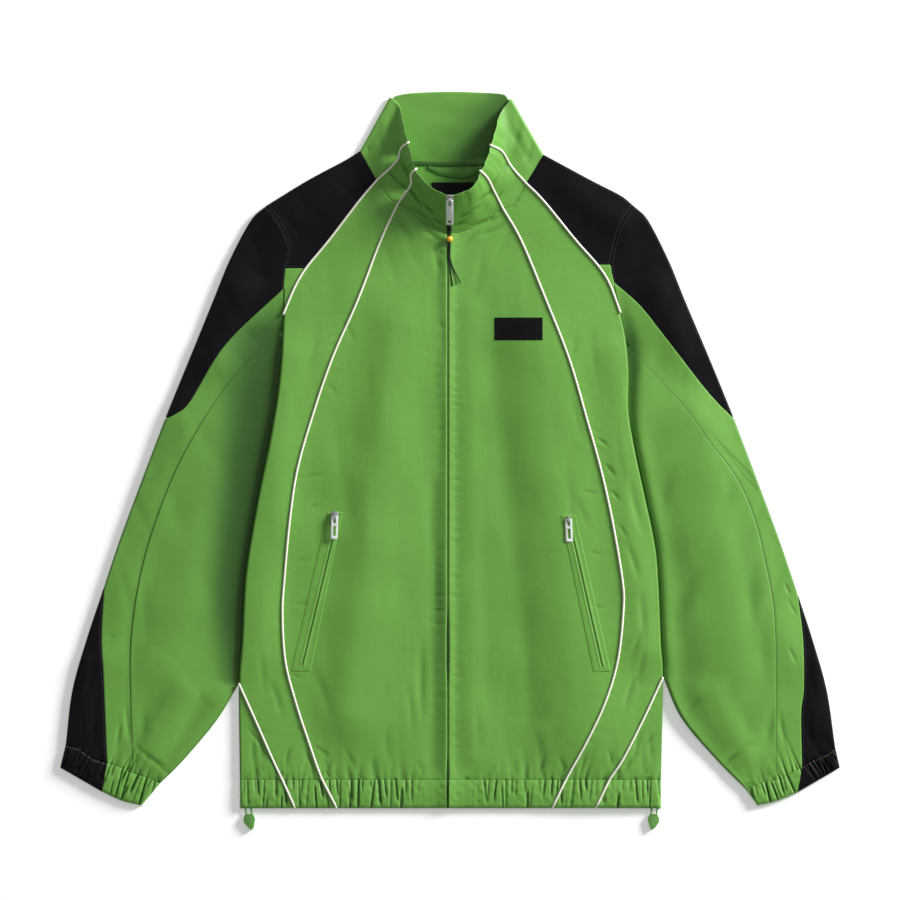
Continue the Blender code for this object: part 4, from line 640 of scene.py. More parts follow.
def material(name, build, look):
    # a material whose colour, roughness and bump height come from build, and the rest from its look
    made = bpy.data.materials.new(name)
    made.use_nodes = True
    tree = made.node_tree
    shader = tree.nodes["Principled BSDF"]
    place = nodeOf(tree, "ShaderNodeTexCoord").outputs["Object"]
    color, rough, height = build(tree, place, look)
    bump = nodeOf(tree, "ShaderNodeBump", {"Strength": look["bump"], "Distance": look["bumpHeight"] * mm})
    connect(tree, ((shader.inputs["Base Color"], color), (shader.inputs["Roughness"], rough),
                   (bump.inputs["Height"], height), (shader.inputs["Normal"], bump.outputs[0])))
    setInputs(shader, look["shader"])
    return made


def wovenNylon(tree, place, look):
    # plain weave: the warp's and weft's sine waves crossed, with slubs along the warp, soft patches of
    # random tone, a paler tone for wear at seams and for wear and painted highlight on rims and crests, and
    # painted shade, a deep tone, where the cloth lies in a crease, a slit, a valley or another part's shadow
    grain, across, along = grainOf(tree)
    turn = 2 * math.pi / (look["weave"] * mm)
    warp = mathOf(tree, "SINE", times(tree, across, turn))
    weft = mathOf(tree, "SINE", times(tree, along, turn))
    stretch = nodeOf(tree, "ShaderNodeMapping", {"Scale": (look["slubAcross"], look["slubAlong"], 1.0)})
    tree.links.new(grain, stretch.inputs["Vector"])
    slub = noiseOf(tree, stretch.outputs[0], 1.0, 3.0, 0.6)
    patches = noiseOf(tree, place, look["patches"], 4.0, 0.55)
    crumple = noiseOf(tree, place, look["crumple"], 5.0, 0.6)
    wearAndHighlight = nodeOf(tree, "ShaderNodeAttribute", attribute_name="wearAndHighlight").outputs["Fac"]
    deep = nodeOf(tree, "ShaderNodeAttribute", attribute_name="paintedShade").outputs["Fac"]
    streak = times(tree, mathOf(tree, "SUBTRACT", slub, 0.5), look["streak"])
    shade = mixColor(tree, patches, look["dark"], look["light"])
    shade = mixColor(tree, add(tree, 0.5, streak), look["dark"], shade)
    # the paler tone: wear at seams, and partly wear, partly painted highlight on rims, lips and fold crests
    shade = mixColor(tree, times(tree, wearAndHighlight, look["wearAndHighlight"]), shade, look["palerTone"])
    # painted shade: the deep colour mixed in at creases, slits, valleys and the shadows that parts cast
    shade = mixColor(tree, times(tree, deep, look["paintedShade"]), shade, look["deep"])
    rough = add(tree, look["rough"] - 0.06, times(tree, patches, 0.12))
    uneven = add(tree, times(tree, slub, look["slubHeight"]), times(tree, crumple, look["crumpleHeight"]))
    height = add(tree, times(tree, times(tree, warp, weft), look["weaveHeight"]), uneven)
    return shade, rough, height


def nylonShader(tint, sheen, specular):
    return {"Sheen Weight": sheen, "Sheen Roughness": 0.45, "Sheen Tint": (*tint, 1),
            "Specular IOR Level": specular}


nylon = dict(weave=0.42, weaveHeight=0.02, slubAcross=300.0, slubAlong=9.0, streak=0.6, slubHeight=0.05,
             patches=7.0, crumple=70.0, crumpleHeight=0.18, bump=1.0, bumpHeight=1.0)
# each look's deep colour is painted shade, and its paler colour is for wear and painted highlight
nylonLooks = dict(
    green=dict(nylon, dark=(0.135, 0.36, 0.052), light=(0.185, 0.44, 0.075), palerTone=(0.30, 0.56, 0.17),
               deep=(0.008, 0.045, 0.003), wearAndHighlight=0.5, paintedShade=0.9, rough=0.5,
               shader=nylonShader((0.185, 0.44, 0.075), 0.25, 0.35)),
    black=dict(nylon, dark=(0.0045, 0.0045, 0.0062), light=(0.0085, 0.0085, 0.0115),
               palerTone=(0.02, 0.02, 0.024), deep=(0.002, 0.002, 0.003), wearAndHighlight=0.12, paintedShade=0.8, rough=0.48,
               shader=nylonShader((0.0085, 0.0085, 0.0115), 0.02, 0.09)),
    inside=dict(nylon, dark=(0.10, 0.28, 0.04), light=(0.14, 0.35, 0.06), palerTone=(0.2, 0.44, 0.1),
                deep=(0.008, 0.04, 0.003), patches=9.0, wearAndHighlight=0.3, paintedShade=0.95, rough=0.6,
                shader=nylonShader((0.14, 0.35, 0.06), 0.15, 0.3)))


def twisted(tree, place, look):
    # thread, cord or piping: slanting ridges round the piece's own uv, with lint and random tone along it
    _, around, along = grainOf(tree)
    along = times(tree, along, 2 * math.pi / (look["pitch"] * mm))
    around = times(tree, around, 2 * math.pi * look["strands"] / (10 * mm))
    ridge = mathOf(tree, "SINE", add(tree, along, around))
    if look["braided"]:
        ridge = mathOf(tree, "MAXIMUM", ridge, mathOf(tree, "SINE", mathOf(tree, "SUBTRACT", along, around)))
    lint = noiseOf(tree, place, 900.0, 3.0, 0.7)
    fade = noiseOf(tree, place, 40.0, 2.0)
    # the ridges' crests are paler and their grooves darker: painted highlight and painted shade, with random
    # tone
    mix = add(tree, times(tree, ridge, 0.18), add(tree, 0.1, times(tree, fade, 0.8)))
    rough = add(tree, look["rough"] - 0.1, times(tree, lint, 0.2))
    height = add(tree, times(tree, ridge, look["ridge"]), times(tree, lint, look["ridge"]))
    return mixColor(tree, mix, look["dark"], look["light"]), rough, height


twist = dict(braided=False, bump=1.0, bumpHeight=1.0,
             shader={"Sheen Weight": 0.2, "Specular IOR Level": 0.5})
braid = dict(twist, strands=6, braided=True, rough=0.7, ridge=0.07)
thread = dict(twist, pitch=0.5, strands=3, rough=0.5, ridge=0.02)
twistLooks = dict(
    creamPiping=dict(twist, dark=(0.84, 0.79, 0.64), light=(0.98, 0.96, 0.88), pitch=0.9, strands=4,
                     rough=0.6, ridge=0.05),
    blackCord=dict(braid, dark=(0.003, 0.003, 0.0035), light=(0.013, 0.013, 0.014), pitch=1.1,
                   shader={"Sheen Weight": 0.02, "Specular IOR Level": 0.2}),
    greenCord=dict(braid, dark=(0.07, 0.22, 0.04), light=(0.14, 0.36, 0.075), pitch=1.2),
    greenThread=dict(thread, dark=(0.06, 0.19, 0.03), light=(0.12, 0.32, 0.055)),
    blackThread=dict(thread, dark=(0.010, 0.010, 0.012), light=(0.04, 0.04, 0.045)),
    goldThread=dict(thread, dark=(0.22, 0.13, 0.05), light=(0.42, 0.28, 0.12)))


def moulded(tree, place, look):
    # metal, rubber, enamel or lacquer: noise in the roughness and a fine grain, scuffs and slight pits
    scuff = noiseOf(tree, place, look["scuff"], 6.0, 0.7)
    pits = noiseOf(tree, place, look["grain"], 2.0)
    shade = noiseOf(tree, place, look["scuff"] * 0.3, 2.0)
    rough = add(tree, look["rough"] - 0.12, times(tree, scuff, 0.24))
    height = add(tree, pits, times(tree, scuff, 0.5))
    return mixColor(tree, shade, look["dark"], look["light"]), rough, height


def mouldedShader(metal, coat, specular):
    return {"Metallic": metal, "Coat Weight": coat, "Specular IOR Level": specular}


metal = dict(rough=0.3, scuff=300.0, grain=2500.0, bump=0.25, bumpHeight=0.1)
mouldedLooks = dict(
    sliderMetal=dict(metal, dark=(0.22, 0.22, 0.23), light=(0.7, 0.7, 0.71),
                     shader=mouldedShader(0.8, 0.2, 0.5)),
    zipMetal=dict(metal, dark=(0.72, 0.72, 0.73), light=(0.97, 0.97, 0.97),
                  shader=mouldedShader(0.3, 0.2, 0.5)),
    zipTeeth=dict(metal, dark=(0.03, 0.055, 0.025), light=(0.07, 0.12, 0.05), rough=0.35, bump=0.2,
                  shader=mouldedShader(0.0, 0.2, 0.4)),
    yellowBead=dict(metal, dark=(0.76, 0.36, 0.012), light=(0.92, 0.50, 0.03), rough=0.35, scuff=200.0,
                    grain=2000.0, bump=0.2, shader=mouldedShader(0.0, 0.4, 0.5)),
    greenRubber=dict(metal, dark=(0.09, 0.27, 0.05), light=(0.15, 0.36, 0.08), rough=0.5, scuff=220.0,
                     grain=1600.0, bump=0.5, shader=mouldedShader(0.0, 0.05, 0.3)),
    blackRubber=dict(metal, dark=(0.003, 0.003, 0.004), light=(0.007, 0.007, 0.008), rough=0.55,
                     scuff=160.0, grain=1500.0, bump=0.5, shader=mouldedShader(0.0, 0.0, 0.1)))

paints = {key: material(key + "Nylon", wovenNylon, look) for key, look in nylonLooks.items()}
paints.update({key: material(key, twisted, look) for key, look in twistLooks.items()})
paints.update({key: material(key, moulded, look) for key, look in mouldedLooks.items()})


def dress(obj, paint, body="jacket", nodes=()):
    # gives a piece its material and slot, sets it on the empty of the body that it rides on, and hides the
    # imported parts that it stands in for
    obj.data.materials.append(paints[paint])
    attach(obj, body)
    if nodes:
        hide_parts(*nodes)


print("materials are made")

gatherSpans = dict(  # ranges that each trough's numbers are drawn from, in this order
    lean=(-0.14, 0.14), width=(0.8, 1.7), depth=(0.5, 1.9), down=(0.45, 1.25), up=(3, 17),
    fan=(-0.25, 0.25), skew=(0.65, 1.55))
gather = dict(jitter=0.3, fromEdge=0.3, calmFrom=0.55, calmOver=0.6, fade=0.3, widening=0.05)


def gathersOn(start, end, count, seed, leave=None, fine=1.0, deeper=1.0):
    # where the elastic draws the cloth in: uneven troughs along a casing's seam, shared by the casing
    # and the panels above it, and calmed beside a place to leave plain
    draw = np.random.default_rng(seed)
    start, end = np.array(start, float), np.array(end, float)
    length = np.linalg.norm(end - start)
    at = (np.arange(count) + 0.5 + draw.uniform(-gather["jitter"], gather["jitter"], count)) / count * length
    g = {key: draw.uniform(*span, count) for key, span in gatherSpans.items()}
    fromEdge = draw.random(count) < gather["fromEdge"]
    g.update(start=start, axis=(end - start) / length, at=at, fromEdge=fromEdge)
    g["width"] *= fine
    g["depth"] *= deeper
    if leave is not None:
        place, (middle, reach) = start + g["axis"] * at[:, None], leave
        past = np.abs(place[:, 0] - middle) - reach * gather["calmFrom"]
        g["depth"] *= np.clip(past / (reach * gather["calmOver"]), 0, 1)
    return g


def gatherTroughs(g, x, y, below, height):
    # in the casing (below > 0) a trough with one steep flank leans and runs part of the height; above it
    # the trough spreads and dies out: depth * exp(-(off / width)^2) * window
    s = ((x - g["start"][0]) * g["axis"][0] + (y - g["start"][1]) * g["axis"][1])[..., None]
    h = below[..., None]
    down = np.maximum(h, 0) / height
    up = np.maximum(-h, 0)
    way = np.where(g["fromEdge"], 1 - down, down)
    inside = np.clip((g["down"] - way) / gather["fade"], 0, 1)
    window = np.where(h > 0, inside * inside * (3 - 2 * inside), np.exp(-up / g["up"]))
    off = s - g["at"] - g["lean"] * np.maximum(h, 0) - g["fan"] * up
    width = g["width"] * (1 + gather["widening"] * up) * np.where(off > 0, g["skew"], 1 / g["skew"])
    return np.sum(g["depth"] * np.exp(-(off / width) ** 2) * window, axis=-1)


pucker = dict(jitter=0.45, width=(1.2, 3.2), depth=(0.15, 1.0), uneven=1.5, reach=(0.5, 1.5), lean=0.5,
              farthest=3.5)


def puckers(s, d, seed, gapBetween, depth, reach, p=pucker):
    # short uneven dents square to a seam: each depth * exp(-(s / width)^2 - d / reach)
    draw = np.random.default_rng(seed)
    count = max(2, int(s.max() / gapBetween))
    at = (np.arange(count) + draw.uniform(-p["jitter"], p["jitter"], count)) * s.max() / count
    width, deep = draw.uniform(*p["width"], count), draw.uniform(*p["depth"], count) ** p["uneven"] * depth
    far, lean = draw.uniform(*p["reach"], count) * reach, draw.uniform(-p["lean"], p["lean"], count)
    z = np.zeros(np.broadcast(s, d).shape)
    near = d < p["farthest"] * reach
    sNear, dNear = np.broadcast_to(s, z.shape)[near], np.broadcast_to(d, z.shape)[near]
    total = np.zeros(len(sNear))
    for k in range(count):
        total += deep[k] * np.exp(-((sNear - at[k] - lean[k] * dNear) / width[k]) ** 2 - dNear / far[k])
    z[near] = total
    return z


edgeKinds = dict(  # dip, its half width, distance between puckers, their depth and reach
    seam=(0.25, 0.7, 9.0, 0.16, 4.0), piped=(0.4, 1.8, 8.0, 0.42, 6.0),
    placket=(0.6, 0.7, 5.0, 0.5, 4.5), neck=(0.45, 0.9, 7.0, 0.5, 7.0),
    gathered=(0.2, 0.7, 3.6, 0.8, 5.0), faint=(0.07, 0.8, 12.0, 0.1, 4.0))
foldKinds = dict(  # reach as a share of the drop, its least and most, and how dark the foot's painted shade is
    fold=(0.35, 1.8, 3.4, 0.85), tightFold=(0.22, 1.1, 2.2, 0.6))
# the paler tone is wear at seams, and partly wear, partly painted highlight at folds
tones = dict(  # how strong the painted shade and the paler tone are at creases, seams and folds, with the reach in millimetres
    crease=0.6, palerTone=0.15, palerReach=1.6, line=0.35, lineReach=1.4, foldPalerTone=0.1, foldReach=2.5,
    footReach=1.5)
panelRules = dict(  # how far in a placket's puckers lie, how quickly an edge's kinds change along it, and
    # how far a face stays above the lowest underside
    placketIn=7.0, ramp=0.012, lowest=0.4)


def seamForm(z, wearAndHighlight, d, s, kind, seed, weight):
    # a seam: dip * exp(-(d / width)^2) along the edge and puckers square to it, a placket's further in
    dip, width, gapBetween, depth, reach = edgeKinds[kind]
    far = np.abs(d - panelRules["placketIn"]) if kind == "placket" else d
    z = z - weight * (dip * np.exp(-(d / width) ** 2) + puckers(s, far, seed, gapBetween, depth, reach))
    palerTone = 0 if kind == "faint" else tones["palerTone"]
    return z, np.maximum(wearAndHighlight, weight * palerTone * np.exp(-(d / tones["palerReach"]) ** 2))


def foldForm(z, wearAndHighlight, paintedShade, d, weight, kind):
    # a folded edge rounds right down to the table, as a quarter of an ellipse that deepens at its foot
    # its rim gets the paler tone, partly wear and partly painted highlight, and its foot gets painted shade
    share, least, most, foot = foldKinds[kind]
    drop = z - cloth["foldTop"]
    reach = np.clip(share * drop, least, most)
    near = np.clip(1 - d / reach, 0, 1)
    z = z - weight * drop * (1 - np.sqrt(1 - near ** 2))
    return (z, np.maximum(wearAndHighlight, weight * tones["foldPalerTone"] * np.exp(-(d / tones["foldReach"]) ** 2)),
            np.maximum(paintedShade, weight * foot * np.clip(1 - d / (tones["footReach"] * reach), 0, 1)))


def gridOver(edges, pitch):
    # places across and down a panel, and its plan
    top, bottom, outer, inner = edges
    u, v = spread(meanLength(top, bottom), pitch), spread(meanLength(outer, inner), pitch)
    return u, v, patch(edges, u, v)


def onGrain(plan, degrees):
    # plan places turned to the cloth's grain
    x, y = plan[..., 0], plan[..., 1]
    c, s = math.cos(math.radians(degrees)), math.sin(math.radians(degrees))
    return np.stack([x * c + y * s, -x * s + y * c], -1)


panels = {}


def panel(name, node, side, paint, edges, kinds, height=frontLie, grain=0.0, seed=0, gathers=(), shadow=None):
    # a cloth panel over the patch between its four edges (top, bottom, outer, inner); an edge's kind is
    # one name or runs of (kind, first, last)
    u, v, plan = gridOver(edges, cloth["pitch"])
    x, y = plan[..., 0], plan[..., 1]
    z = height(x, y)
    wearAndHighlight, seamLineShade, folded = np.zeros(z.shape), np.zeros(z.shape), []
    for number, (edge, which) in enumerate(zip(edges, ("top", "bottom", "outer", "inner"))):
        t, axis = (u, (None, slice(None))) if number < 2 else (v, (slice(None), None))
        line = onEdge(asEdge(edge), t)
        along = np.gradient(line, axis=0)
        along /= np.linalg.norm(along, axis=1)[:, None] + 1e-9
        line, along, s, t = (values[axis] for values in (line, along, lengthAlong(line), t))
        away = plan - line
        d = np.abs(away[..., 0] * along[..., 1] - away[..., 1] * along[..., 0])
        if which == "bottom":
            for g in gathers:
                z = z - gatherTroughs(g, x, y, -d - 0.01, 1.0)
        runs = kinds.get(which, ())
        for kind, first, last in [(runs, 0, 1)] if isinstance(runs, str) else runs:
            weight = (np.clip((t - first) / panelRules["ramp"] + 1, 0, 1)
                      * np.clip((last - t) / panelRules["ramp"] + 1, 0, 1))
            if kind in foldKinds:
                folded.append((d, weight, kind))
            else:
                z, wearAndHighlight = seamForm(z, wearAndHighlight, d, s, kind, seed * 10 + number, weight)
            # a faint seam gets a thin line of painted shade
            if kind == "faint":
                seamLineShade = np.maximum(seamLineShade, tones["line"] * weight * np.exp(-(d / tones["lineReach"]) ** 2))
    # painted shade in the creases and along faint seams, and the painted shadow that shadow(x, y) gives
    paintedShade = np.maximum(tones["crease"] * cavity(z), seamLineShade)
    if shadow is not None:
        paintedShade = np.maximum(paintedShade, shadow(x, y))
    for d, weight, kind in folded:
        z, wearAndHighlight, paintedShade = foldForm(z, wearAndHighlight, paintedShade, d, weight, kind)
    face = np.dstack([plan, np.maximum(z, cloth["floor"] + panelRules["lowest"])])
    panels[name + "_" + side] = dict(u=u, v=v, face=face)
    obj = shell(name + "_" + side, face, cloth["wall"], cloth["floor"], onGrain(plan, grain), wearAndHighlight, paintedShade)
    finishCloth(obj, paint, [node + "_" + side], face)


sheetLimits = dict(side=0.012, share=0.301)    # least side in metres, and least area as a share of the box


def finishCloth(obj, paint, nodes, face, more=1.0):
    # dresses the piece and works out its cut from its own face, pressed flat, as width, length and area,
    # which nothing here uses
    dress(obj, paint, nodes=nodes)
    a = face[1:, :-1] - face[:-1, :-1]
    b = face[:-1, 1:] - face[:-1, :-1]
    area = np.linalg.norm(np.cross(a, b), axis=-1).sum() * mm * mm * more
    width = np.linalg.norm(np.diff(face, axis=1), axis=-1).sum(axis=1).mean() * mm
    length = max(np.linalg.norm(np.diff(face, axis=0), axis=-1).sum(axis=0).max() * mm, area / width)
    width, length = (round(max(size, sheetLimits["side"]), 4) for size in (width, length))
    area = min(max(area, sheetLimits["share"] * width * length), width * length)


def onPanel(name, u, v):
    # the face's point at places u, v from 0 to 1, straight between the grid's own points
    p = panels[name]
    i = np.clip(np.searchsorted(p["v"], v) - 1, 0, len(p["v"]) - 2)
    j = np.clip(np.searchsorted(p["u"], u) - 1, 0, len(p["u"]) - 2)
    a = np.clip((v - p["v"][i]) / (p["v"][i + 1] - p["v"][i]), 0, 1)[..., None]
    b = np.clip((u - p["u"][j]) / (p["u"][j + 1] - p["u"][j]), 0, 1)[..., None]
    upper, lower = ((1 - b) * p["face"][k, j] + b * p["face"][k, j + 1] for k in (i, i + 1))
    return (1 - a) * upper + a * lower


def heightOn(name, xy, steps=14, step=2e-3):
    # the face's height over plan points, found by Newton's steps in u and v
    u, v = np.full(xy.shape[:-1], 0.5), np.full(xy.shape[:-1], 0.5)
    for _ in range(steps):
        here, right, low = onPanel(name, u, v), onPanel(name, u + step, v), onPanel(name, u, v + step)
        miss = xy - here[..., :2]
        du, dv = (right - here)[..., :2] / step, (low - here)[..., :2] / step
        det = du[..., 0] * dv[..., 1] - du[..., 1] * dv[..., 0]
        det = np.where(np.abs(det) < 1e-6, 1e-6, det)
        u = np.clip(u + (miss[..., 0] * dv[..., 1] - miss[..., 1] * dv[..., 0]) / det, 0.001, 0.995)
        v = np.clip(v + (du[..., 0] * miss[..., 1] - du[..., 1] * miss[..., 0]) / det, 0.001, 0.995)
    return onPanel(name, u, v)[..., 2]


def zipEdge(side):
    return cloth["zipX"] + signOf[side] * cloth["zipHalf"]


def sideEdges(side):
    # the edges that neighbouring panels share, as dense lines
    lv, e = levels[side], {key: spline(seams[key][side]) for key in seams}
    neck = seams["neck"][side]
    e["tuck"] = np.array(seams["blackEdge"][side][0], float)
    e["neckMid"], e["neckFront"] = spline(neck[:3]), spline(neck[2:])
    e["raglan"] = betweenLevels(e["outerPiping"], neck[0][1], lv["armpit"])
    e["side"] = betweenLevels(e["sideEdge"], lv["armpit"], lv["hemSide"])
    e["sideTop"] = betweenLevels(e["sideEdge"], lv["armpit"], lv["seam"])
    e["sideLow"] = betweenLevels(e["sideEdge"], lv["seam"], lv["hemSide"])
    e["hip"] = betweenLevels(e["sideEdge"], lv["hemSide"], cloth["hemY"])
    e["lower"] = betweenLevels(e["lowerPiping"], lv["hemSide"], cloth["hemY"])
    e["collarBlack"] = spline([collarBackBase[0 if side == "left" else -1], neck[0]])
    return e


bodyShares = (90, 18, 381, 107)    # a front's height down to the armpit, the sleeve's seam, the hip, the hem


def bodyRuns(curve, side, top):
    # one seam in four stretches, so that the rows of neighbouring panels stay level
    lv = levels[side]
    knots = [top, lv["armpit"], lv["seam"], lv["hemSide"], cloth["hemY"]]
    return [(betweenLevels(curve, a, b), share) for a, b, share in zip(knots, knots[1:], bodyShares)]


def lying(top, bottom):
    # the four edges between an upper and a lower line, its sides straight
    return top, bottom, straight(top[0], bottom[0]), straight(top[-1], bottom[-1])


def standing(outer, inner):
    # the same between an outer and an inner line
    return straight(outer[0], inner[0]), straight(outer[-1], inner[-1]), outer, inner


seeds = dict(body=dict(left=10, right=60), sleeve=dict(left=30, right=80))
hemGather = dict(sideX=227.0, count=38, seed=11, plain=42.0)
cuffGather = dict(count=dict(black=9, green=13), seed=40, fine=0.75, deeper=1.4)
hemGathers = {side: gathersOn((signOf[side] * hemGather["sideX"], cloth["hemY"]),
                              (cloth["zipX"], cloth["hemY"]), hemGather["count"],
                              hemGather["seed"] + signOf[side],
                              leave=(cloth["zipX"], hemGather["plain"])) for side in sides}
cuffGathers = {}
for side in sides:
    for part, count in cuffGather["count"].items():
        line = cuffs[side][part + "Seam"]
        cuffGathers[part, side] = gathersOn(line[0], line[-1], count, cuffGather["seed"] + len(cuffGathers),
                                            fine=cuffGather["fine"], deeper=cuffGather["deeper"])
shared = {side: sideEdges(side) for side in sides}
slit = dict(half=0.5, openings=[(-500, -350), (-232, -196), (232, 500)], ramp=24.0)
placketStrip = dict(shadeTone=0.14, start=-13.0, end=-2.0, ramp=1.5)


def slitOpen(y):
    # 1 where the placket's edges stand apart, so that the zip shows, and 0 where they nearly meet
    return np.max([np.clip(1 - np.maximum(low - y, y - high) / slit["ramp"], 0, 1)
                   for low, high in slit["openings"]], axis=0)


def placketShadow(x, y, p=placketStrip):
    # the left placket's strip between its stitches and the zip lies a little lower and takes painted shade
    return p["shadeTone"] * np.clip((x - p["start"]) / p["ramp"], 0, 1) * np.clip((p["end"] - x) / p["ramp"], 0, 1)


def makeBody(side, e):
    # the five pieces of one front, each over the patch between the seams that it shares
    lv, n, neck = levels[side], seeds["body"][side], seams["neck"][side]
    innerRuns = bodyRuns(e["innerPiping"], side, neck[2][1])
    y = np.linspace(400.0, -400.0, 401)
    half = slit["half"] + (cloth["zipHalf"] - slit["half"]) * slitOpen(y)
    zipRuns = bodyRuns(np.column_stack([cloth["zipX"] + signOf[side] * half, y]), side, neck[-1][1])
    innerEnd = innerRuns[-1][0][-1]
    panel("frontCentre", "front_centre", side, "green",
          (e["neckFront"], straight(innerEnd, (zipEdge(side), cloth["hemY"])), edgeOf(*innerRuns),
           edgeOf(*zipRuns)),
          dict(top="neck", bottom="gathered", outer="piped", inner="placket"),
          seed=n, gathers=[hemGathers[side]], shadow=placketShadow)
    outer = zip((e["raglan"], e["sideTop"], e["sideLow"], e["lower"]), bodyShares)
    a, _, b, _ = np.cumsum(bodyShares) / sum(bodyShares)
    panel("frontSide", "front_side", side, "green",
          (e["neckMid"], straight(e["lower"][-1], innerEnd), edgeOf(*outer), edgeOf(*innerRuns)),
          dict(top="neck", bottom="gathered", inner="piped",
               outer=[("piped", 0, a), ("fold" if side == "left" else "tightFold", a, b), ("piped", b, 1)]),
          seed=n + 1, gathers=[hemGathers[side]])
    atUnder = betweenLevels(e["outerPiping"], lv["underPanel"], lv["underPanel"] - 1, 2)[0]
    south = edgeOf((e["armhole"], 4), (straight(e["armhole"][-1], atUnder), 2))
    upper = betweenLevels(e["outerPiping"], neck[0][1], lv["underPanel"])
    panel("shoulderCloth", "shoulder", side, "black", (e["collarBlack"], south, e["shoulderEdge"], upper),
          dict(top="seam", bottom="seam", outer="fold", inner="piped"), seed=n + 2, grain=signOf[side] * 30)
    under = np.vstack([straight(e["armhole"][-1], e["tuck"]), straight(e["tuck"], e["raglan"][-1])[1:]])
    raglan = betweenLevels(e["outerPiping"], lv["underPanel"], lv["armpit"])
    panel("underarmCloth", "underarm", side, "green", standing(trimmed(under, end=4), trimmed(raglan, end=4)),
          dict(top="seam", outer=[("seam", 0, 0.5), ("fold", 0.5, 1)], inner="piped"), seed=n + 3)
    panel("hipCloth", "hip", side, "green",
          standing(trimmed(e["hip"], start=4), trimmed(e["lower"], start=4)),
          dict(bottom="gathered", outer="fold", inner="piped"), seed=n + 4, gathers=[hemGathers[side]])


def makeSleeve(side, e):
    # the four pieces of one sleeve, on the lie that dips beside the body
    n, shadow = seeds["sleeve"][side], sleeveShadow(side)
    lie = dict(height=sleeveLie(side), grain=signOf[side] * 24)
    armhole = edgeOf((e["armhole"], 4), (straight(e["armhole"][-1], e["tuck"]), 2))
    tipOut, tipIn = trimmed(e["sleeveEdge"], end=3), trimmed(e["blackEdge"], end=3)
    panel("sleeveTop", "sleeve_top", side, "black", (armhole, straight(tipOut[-1], tipIn[-1]), tipOut, tipIn),
          dict(top="seam", outer="fold", inner="seam"), seed=n, shadow=shadow, **lie)
    seamLine = spline([tuple(e["sideTop"][-1])] + seams["sleeveSeam"][side][1:])
    cuffSeam = np.array(cuffs[side]["greenSeam"], float)
    inner = edgeOf((np.vstack([e["tuck"], e["sideTop"][0]]), 28), (e["sideTop"], 18), (seamLine, 520))
    outer = edgeOf((e["forearmEdge"], 8), (e["insertSeam"], 7))
    panel("sleeveOuter", "sleeve_outer", side, "green", (e["blackEdge"][::-1], cuffSeam[:3], outer, inner),
          dict(top="seam", bottom="gathered", inner=[("faint", 0.08, 1)],
               outer=[("fold", 0, 8 / 15), ("seam", 8 / 15, 1)]),
          seed=n + 1, gathers=[cuffGathers["green", side]], shadow=shadow, **lie)
    body = np.vstack([e["sideLow"], e["underEdge"][1:]])
    fold = 1 - lengthAlong(e["underEdge"])[-1] / lengthAlong(body)[-1]
    top, _, seamSide, bodySide = standing(trimmed(seamLine, start=7), trimmed(body, start=7))
    panel("sleeveUnder", "sleeve_under", side, "green", (top, cuffSeam[2:], seamSide, bodySide),
          dict(bottom="gathered", outer="faint", inner=[("fold", fold, 1)]),
          seed=n + 2, gathers=[cuffGathers["green", side]], shadow=shadow, **lie)
    top, _, wrist, insert = standing(trimmed(e["wristEdge"], start=4), trimmed(e["insertSeam"], start=4))
    panel("cuffInsert", "cuff_insert", side, "black",
          (top, np.array(cuffs[side]["blackSeam"], float), wrist, insert),
          dict(bottom="gathered", outer="fold", inner="seam"),
          seed=n + 3, gathers=[cuffGathers["black", side]], **lie)


for side in sides:
    makeBody(side, shared[side])
    makeSleeve(side, shared[side])
print("body, shoulders and sleeves are made")

casing = dict(
    pitch=0.85, downPitch=1.5, wall=1.3, seamDip=0.2, puff=1.0, puffBias=0.8, lump=0.12, lumpWave=9,
    leastRound=3.0, mostRound=3.6, roundShare=0.9, endRound=3.0, fullShadeDepth=5.0, mostShade=0.6, creaseShade=0.7,
    palerTone=0.3, palerReach=2.5, doubled=1.25)


def puffed(below, tall):
    # how far a casing swells between its seam and its free edge
    return casing["puff"] * np.sin(math.pi * (below / tall) ** casing["puffBias"])


def makeCasing(name, node, side, paint, seamLine, freeLine, g, foldedEnd, c=casing):
    # a tube of cloth over elastic: puffed between its seam and its free edge, cut by the gathers' troughs
    seam, free = evenly(seamLine, 200), evenly(freeLine, 200)
    tall, long = np.linalg.norm(free - seam, axis=1).mean(), meanLength(seam, free)
    u, v = spread(long, c["pitch"]), spread(tall, c["downPitch"])
    plan = patch(lying(seam, free), u, v)
    x, y = plan[..., 0], plan[..., 1]
    below = np.broadcast_to((v * tall)[:, None], x.shape)
    level = largeFolds(*onEdge(asEdge(seam), u).T)[None]
    z = (level - c["seamDip"] * np.exp(-below ** 2) + puffed(below, tall)
         + softNoise(x, y, 71, c["lumpWave"], c["lump"]))
    troughs = gatherTroughs(g, x, y, below, tall)
    z = z - troughs
    # painted shade in the gathers' troughs and in the creases
    paintedShade = np.clip(troughs / c["fullShadeDepth"], 0, c["mostShade"]) + c["creaseShade"] * cavity(z)
    reach = np.clip(c["roundShare"] * (z - cloth["foldTop"]), c["leastRound"], c["mostRound"])
    fromEnd = (u if foldedEnd == "start" else 1 - u) * long
    for near in ((tall - below) / reach, fromEnd[None] / c["endRound"]):
        z = z - (z - cloth["foldTop"]) * (1 - np.sqrt(1 - np.clip(1 - near, 0, 1) ** 2))
    # the rolled free edge is paler, partly wear and partly painted highlight, but not in the troughs
    wearAndHighlight = c["palerTone"] * np.exp(-((tall - below) / c["palerReach"]) ** 2) * (1 - np.clip(troughs, 0, 1))
    face = np.dstack([plan, np.maximum(z, cloth["floor"] + panelRules["lowest"])])
    panels[name + "_" + side] = dict(u=u, v=v, face=face)
    obj = shell(name + "_" + side, face, c["wall"], cloth["floor"], plan, wearAndHighlight, paintedShade)
    finishCloth(obj, paint, [node + "_" + side], face, c["doubled"])


